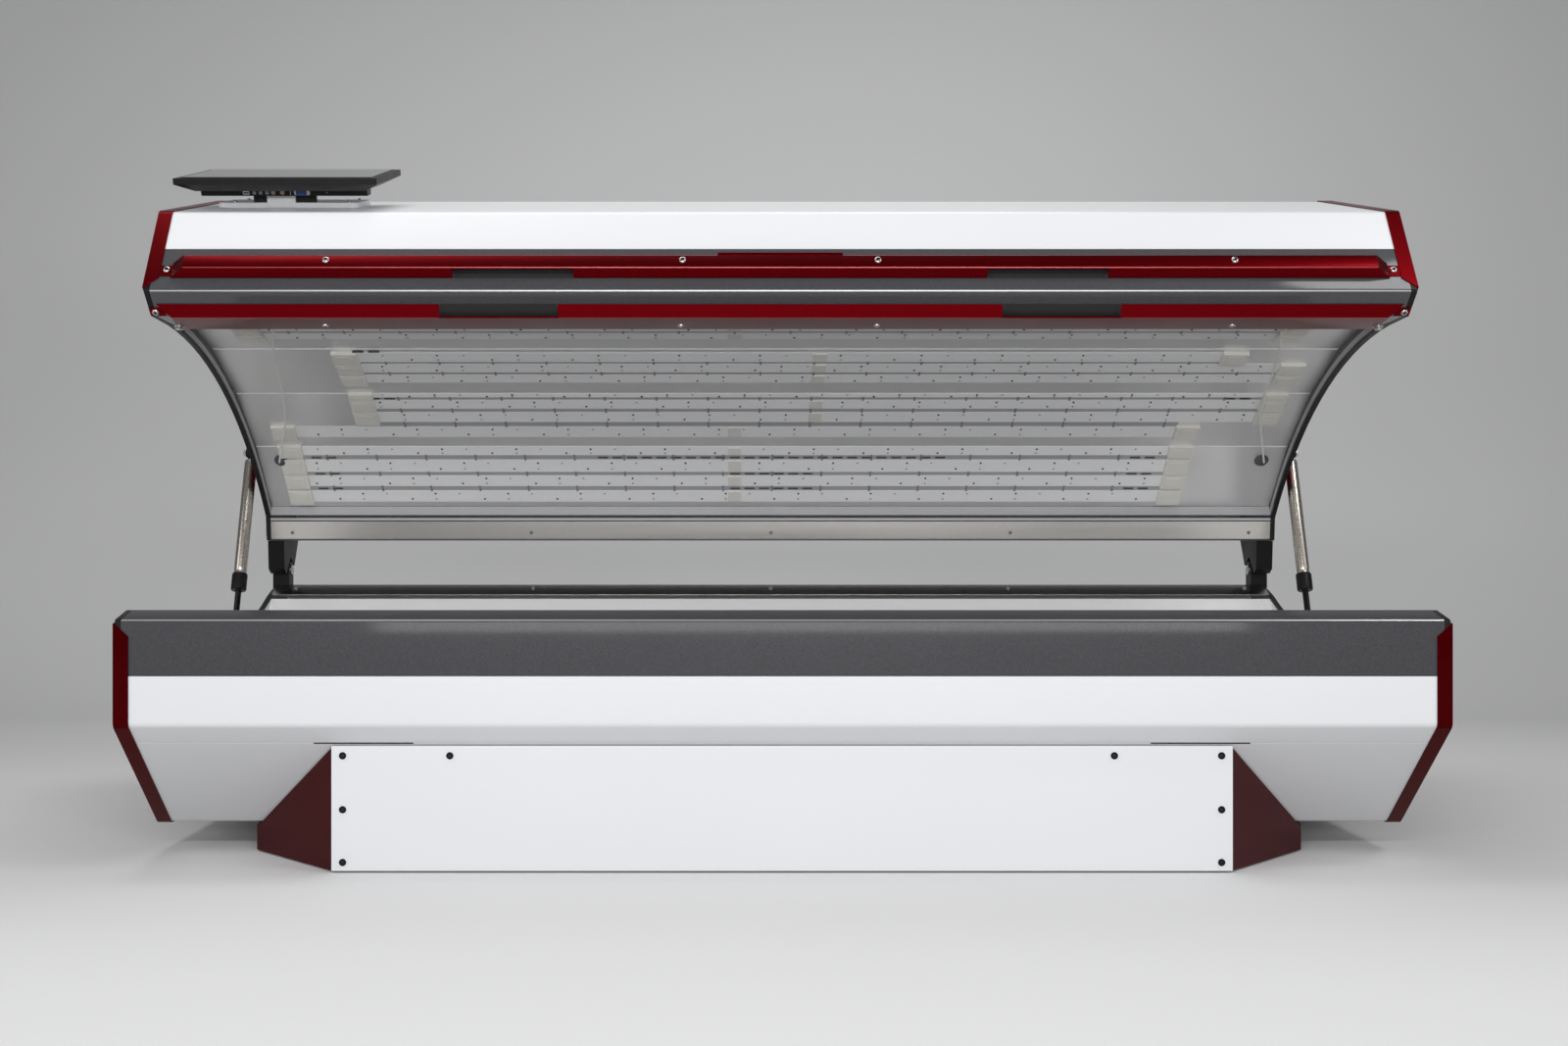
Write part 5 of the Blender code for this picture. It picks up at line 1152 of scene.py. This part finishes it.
class BED_OT_add_stand_details(bpy.types.Operator):
    """Add the cover plate, neck, knuckles and screws of the screen's stand"""
    bl_idname = "bed.add_stand_details"
    bl_label = "Add stand details"

    def execute(self, context):
        sizes = context.scene.bed_fasteners
        top, front = STAND_TOP + 0.0006, 0.1240
        cover = Shape(SLOPE)
        cover.prism(rounded_outline((-1.0580, front), (-0.7920, 0.2560), 0.014), STAND_TOP - 0.0095, top)
        cover.block((-0.9635, front - 0.0010, STAND_TOP - 0.0085), (-0.9094, front + 0.0035, 0.0295))
        add_piece(cover, "stand_cover", ["enamel_white"], "canopy", "white_enamel", 0.0014)
        knuckles = Shape(SLOPE)
        for low, high in ((-0.9893, -0.9640), (-0.9090, -0.8700)):
            knuckles.block((low, front + 0.0020, top), (high, front + 0.0065, 0.0230))
        add_piece(knuckles, "stand_knuckles", ["plastic_black"], "canopy", "black_plastic", 0.0010)
        screws = Shape(SLOPE)
        spots = [(STAND_X + x, y, top) for x in (-0.108, 0.108) for y in (0.142, 0.238)]
        draw_heads(screws, spots, sizes.small_radius, sizes)
        add_piece(screws, "stand_screws", ["steel_bright", "hollow_painted_shade"], "canopy", "polished_steel")
        return {'FINISHED'}


class BED_OT_set_stage(bpy.types.Operator):
    """Set the floor, the backdrop, the lights and the camera"""
    bl_idname = "bed.set_stage"
    bl_label = "Set stage"

    def execute(self, context):
        look = context.scene.bed_stage
        add_backdrop(look)
        add_world(look)
        add_light("key_light", (-0.4, -4.6, 2.3), (0, 0, 0.75), (3.4, 0.4), look.key_power)
        add_light("low_light", (0.2, -4.4, 0.95), (0, 0, 0.65), (3.4, 0.5), look.low_power)
        add_light("top_light", (-0.4, 0.3, 3.4), (-0.2, 0, 0.6), (3.6, 1.0), look.top_power)
        add_light("corner_light", (2.4, -1.7, 3.2), (1.0, -0.4, 1.0), (1.0, 1.0), look.corner_power)
        for (side, hand), power in zip(SIDES, (look.left_power, look.right_power)):
            add_light(f"side_light_{hand}", (side * 3.4, -2.2, 1.5), (0, 0, 0.7), (1.6, 2.2), power)
        camera = bpy.data.objects.new("photo_camera", bpy.data.cameras.new("photo_camera"))
        camera.data.lens = look.lens
        camera.data.shift_x = look.shift
        camera.location = (look.camera_x, FRONT_Y - look.camera_back, look.camera_height)
        camera.rotation_euler = (math.pi / 2, 0, 0)
        context.scene.collection.objects.link(camera)
        context.scene.camera = camera
        context.scene.view_settings.view_transform = 'Standard'
        return {'FINISHED'}


def add_backdrop(look):
    """A floor that sweeps up into a wall; both are clear from behind and below."""
    half_width, front, back, cove, top = 9.0, -9.0, 3.4, 1.6, 6.0
    profile = [(front, 0.0), (back - cove, 0.0)]
    for step in range(1, 13):
        angle = math.pi / 2 * step / 12
        profile.append((back - cove + cove * math.sin(angle), cove - cove * math.cos(angle)))
    profile.append((back, top))
    points = [(x, y, z) for y, z in profile for x in (-half_width, half_width)]
    faces = [(2 * i, 2 * i + 1, 2 * i + 3, 2 * i + 2) for i in range(len(profile) - 1)]
    mesh = bpy.data.meshes.new("backdrop")
    mesh.from_pydata(points, [], faces)
    mesh.shade_smooth()
    paper = Finish("backdrop_paper", look.floor, 0.85)
    path = paper.node("ShaderNodeLightPath")
    seen = path.outputs["Is Camera Ray"]
    for ray in ("Is Glossy Ray", "Is Transmission Ray"):
        either = paper.node("ShaderNodeMath")
        either.operation = 'MAXIMUM'
        paper.link(seen, either.inputs[0])
        paper.link(path.outputs[ray], either.inputs[1])
        seen = either.outputs["Value"]
    shade = paper.node("ShaderNodeMix")
    shade.data_type = 'RGBA'
    shade.inputs[6].default_value = (*look.floor_bounce, 1.0)
    shade.inputs[7].default_value = (*look.floor, 1.0)
    paper.link(seen, shade.inputs["Factor"])
    paper.link(shade.outputs[2], paper.shader.inputs["Base Color"])
    cover = paper.node("ShaderNodeMixShader")
    paper.link(paper.node("ShaderNodeNewGeometry").outputs["Backfacing"], cover.inputs["Fac"])
    paper.link(paper.shader.outputs["BSDF"], cover.inputs[1])
    paper.link(paper.node("ShaderNodeBsdfTransparent").outputs["BSDF"], cover.inputs[2])
    paper.link(cover.outputs["Shader"], paper.tree.nodes["Material Output"].inputs["Surface"])
    mesh.materials.append(paper.material)
    backdrop = bpy.data.objects.new("backdrop", mesh)
    bpy.context.scene.collection.objects.link(backdrop)


def add_world(look):
    """Soft light from all round."""
    world = bpy.data.worlds.new("studio")
    world.use_nodes = True
    background = world.node_tree.nodes["Background"]
    background.inputs["Color"].default_value = (0.96, 0.98, 1.0, 1.0)
    background.inputs["Strength"].default_value = look.world_level
    bpy.context.scene.world = world


def add_light(name, place, target, size, power):
    """A soft rectangular light that faces a target."""
    light = bpy.data.lights.new(name, 'AREA')
    light.shape = 'RECTANGLE'
    light.size, light.size_y = size
    light.energy = power
    lamp = bpy.data.objects.new(name, light)
    lamp.location = place
    lamp.rotation_euler = (Vector(target) - Vector(place)).to_track_quat('-Z', 'Y').to_euler()
    bpy.context.scene.collection.objects.link(lamp)


OPERATORS = (BED_OT_mix_finishes, BED_OT_dress_covers, BED_OT_dress_metalwork, BED_OT_dress_clear_sheets,
             BED_OT_add_canopy_lamps, BED_OT_add_base_lamps, BED_OT_add_board_liners, BED_OT_add_sheet_edge,
             BED_OT_add_rail_ends, BED_OT_add_edge_lines, BED_OT_add_grip_pads, BED_OT_add_pedestal_bolts,
             BED_OT_add_rail_screws, BED_OT_add_retainer_screws, BED_OT_add_cover_screws,
             BED_OT_add_rear_louvres, BED_OT_add_fan_guard, BED_OT_add_struts, BED_OT_add_hinge_pins,
             BED_OT_add_stud_nuts, BED_OT_add_screen_details, BED_OT_add_stand_details, BED_OT_set_stage)
SETTINGS = {"bed_lamps": LampSettings, "bed_fasteners": FastenerSettings, "bed_finishes": FinishSettings,
            "bed_stage": StageSettings}


class BED_PT_looks(bpy.types.Panel):
    """The bed's sizes, colours and pieces"""
    bl_idname = "BED_PT_looks"
    bl_label = "Light Therapy Bed"
    bl_space_type = 'VIEW_3D'
    bl_region_type = 'UI'
    bl_category = "Bed"

    def draw(self, context):
        for operator in OPERATORS:
            self.layout.operator(operator.bl_idname)
        for group in SETTINGS:
            settings = getattr(context.scene, group)
            box = self.layout.box()
            for name in settings.__annotations__:
                box.prop(settings, name)


def register():
    for group, settings in SETTINGS.items():
        bpy.utils.register_class(settings)
        setattr(bpy.types.Scene, group, PointerProperty(type=settings))
    for operator in OPERATORS:
        bpy.utils.register_class(operator)
    bpy.utils.register_class(BED_PT_looks)


def unregister():
    bpy.utils.unregister_class(BED_PT_looks)
    for operator in reversed(OPERATORS):
        bpy.utils.unregister_class(operator)
    for group, settings in SETTINGS.items():
        delattr(bpy.types.Scene, group)
        bpy.utils.unregister_class(settings)


def main():
    register()
    for operator in OPERATORS:
        family, name = operator.bl_idname.split(".")
        getattr(getattr(bpy.ops, family), name)()


if __name__ == "__main__":
    main()
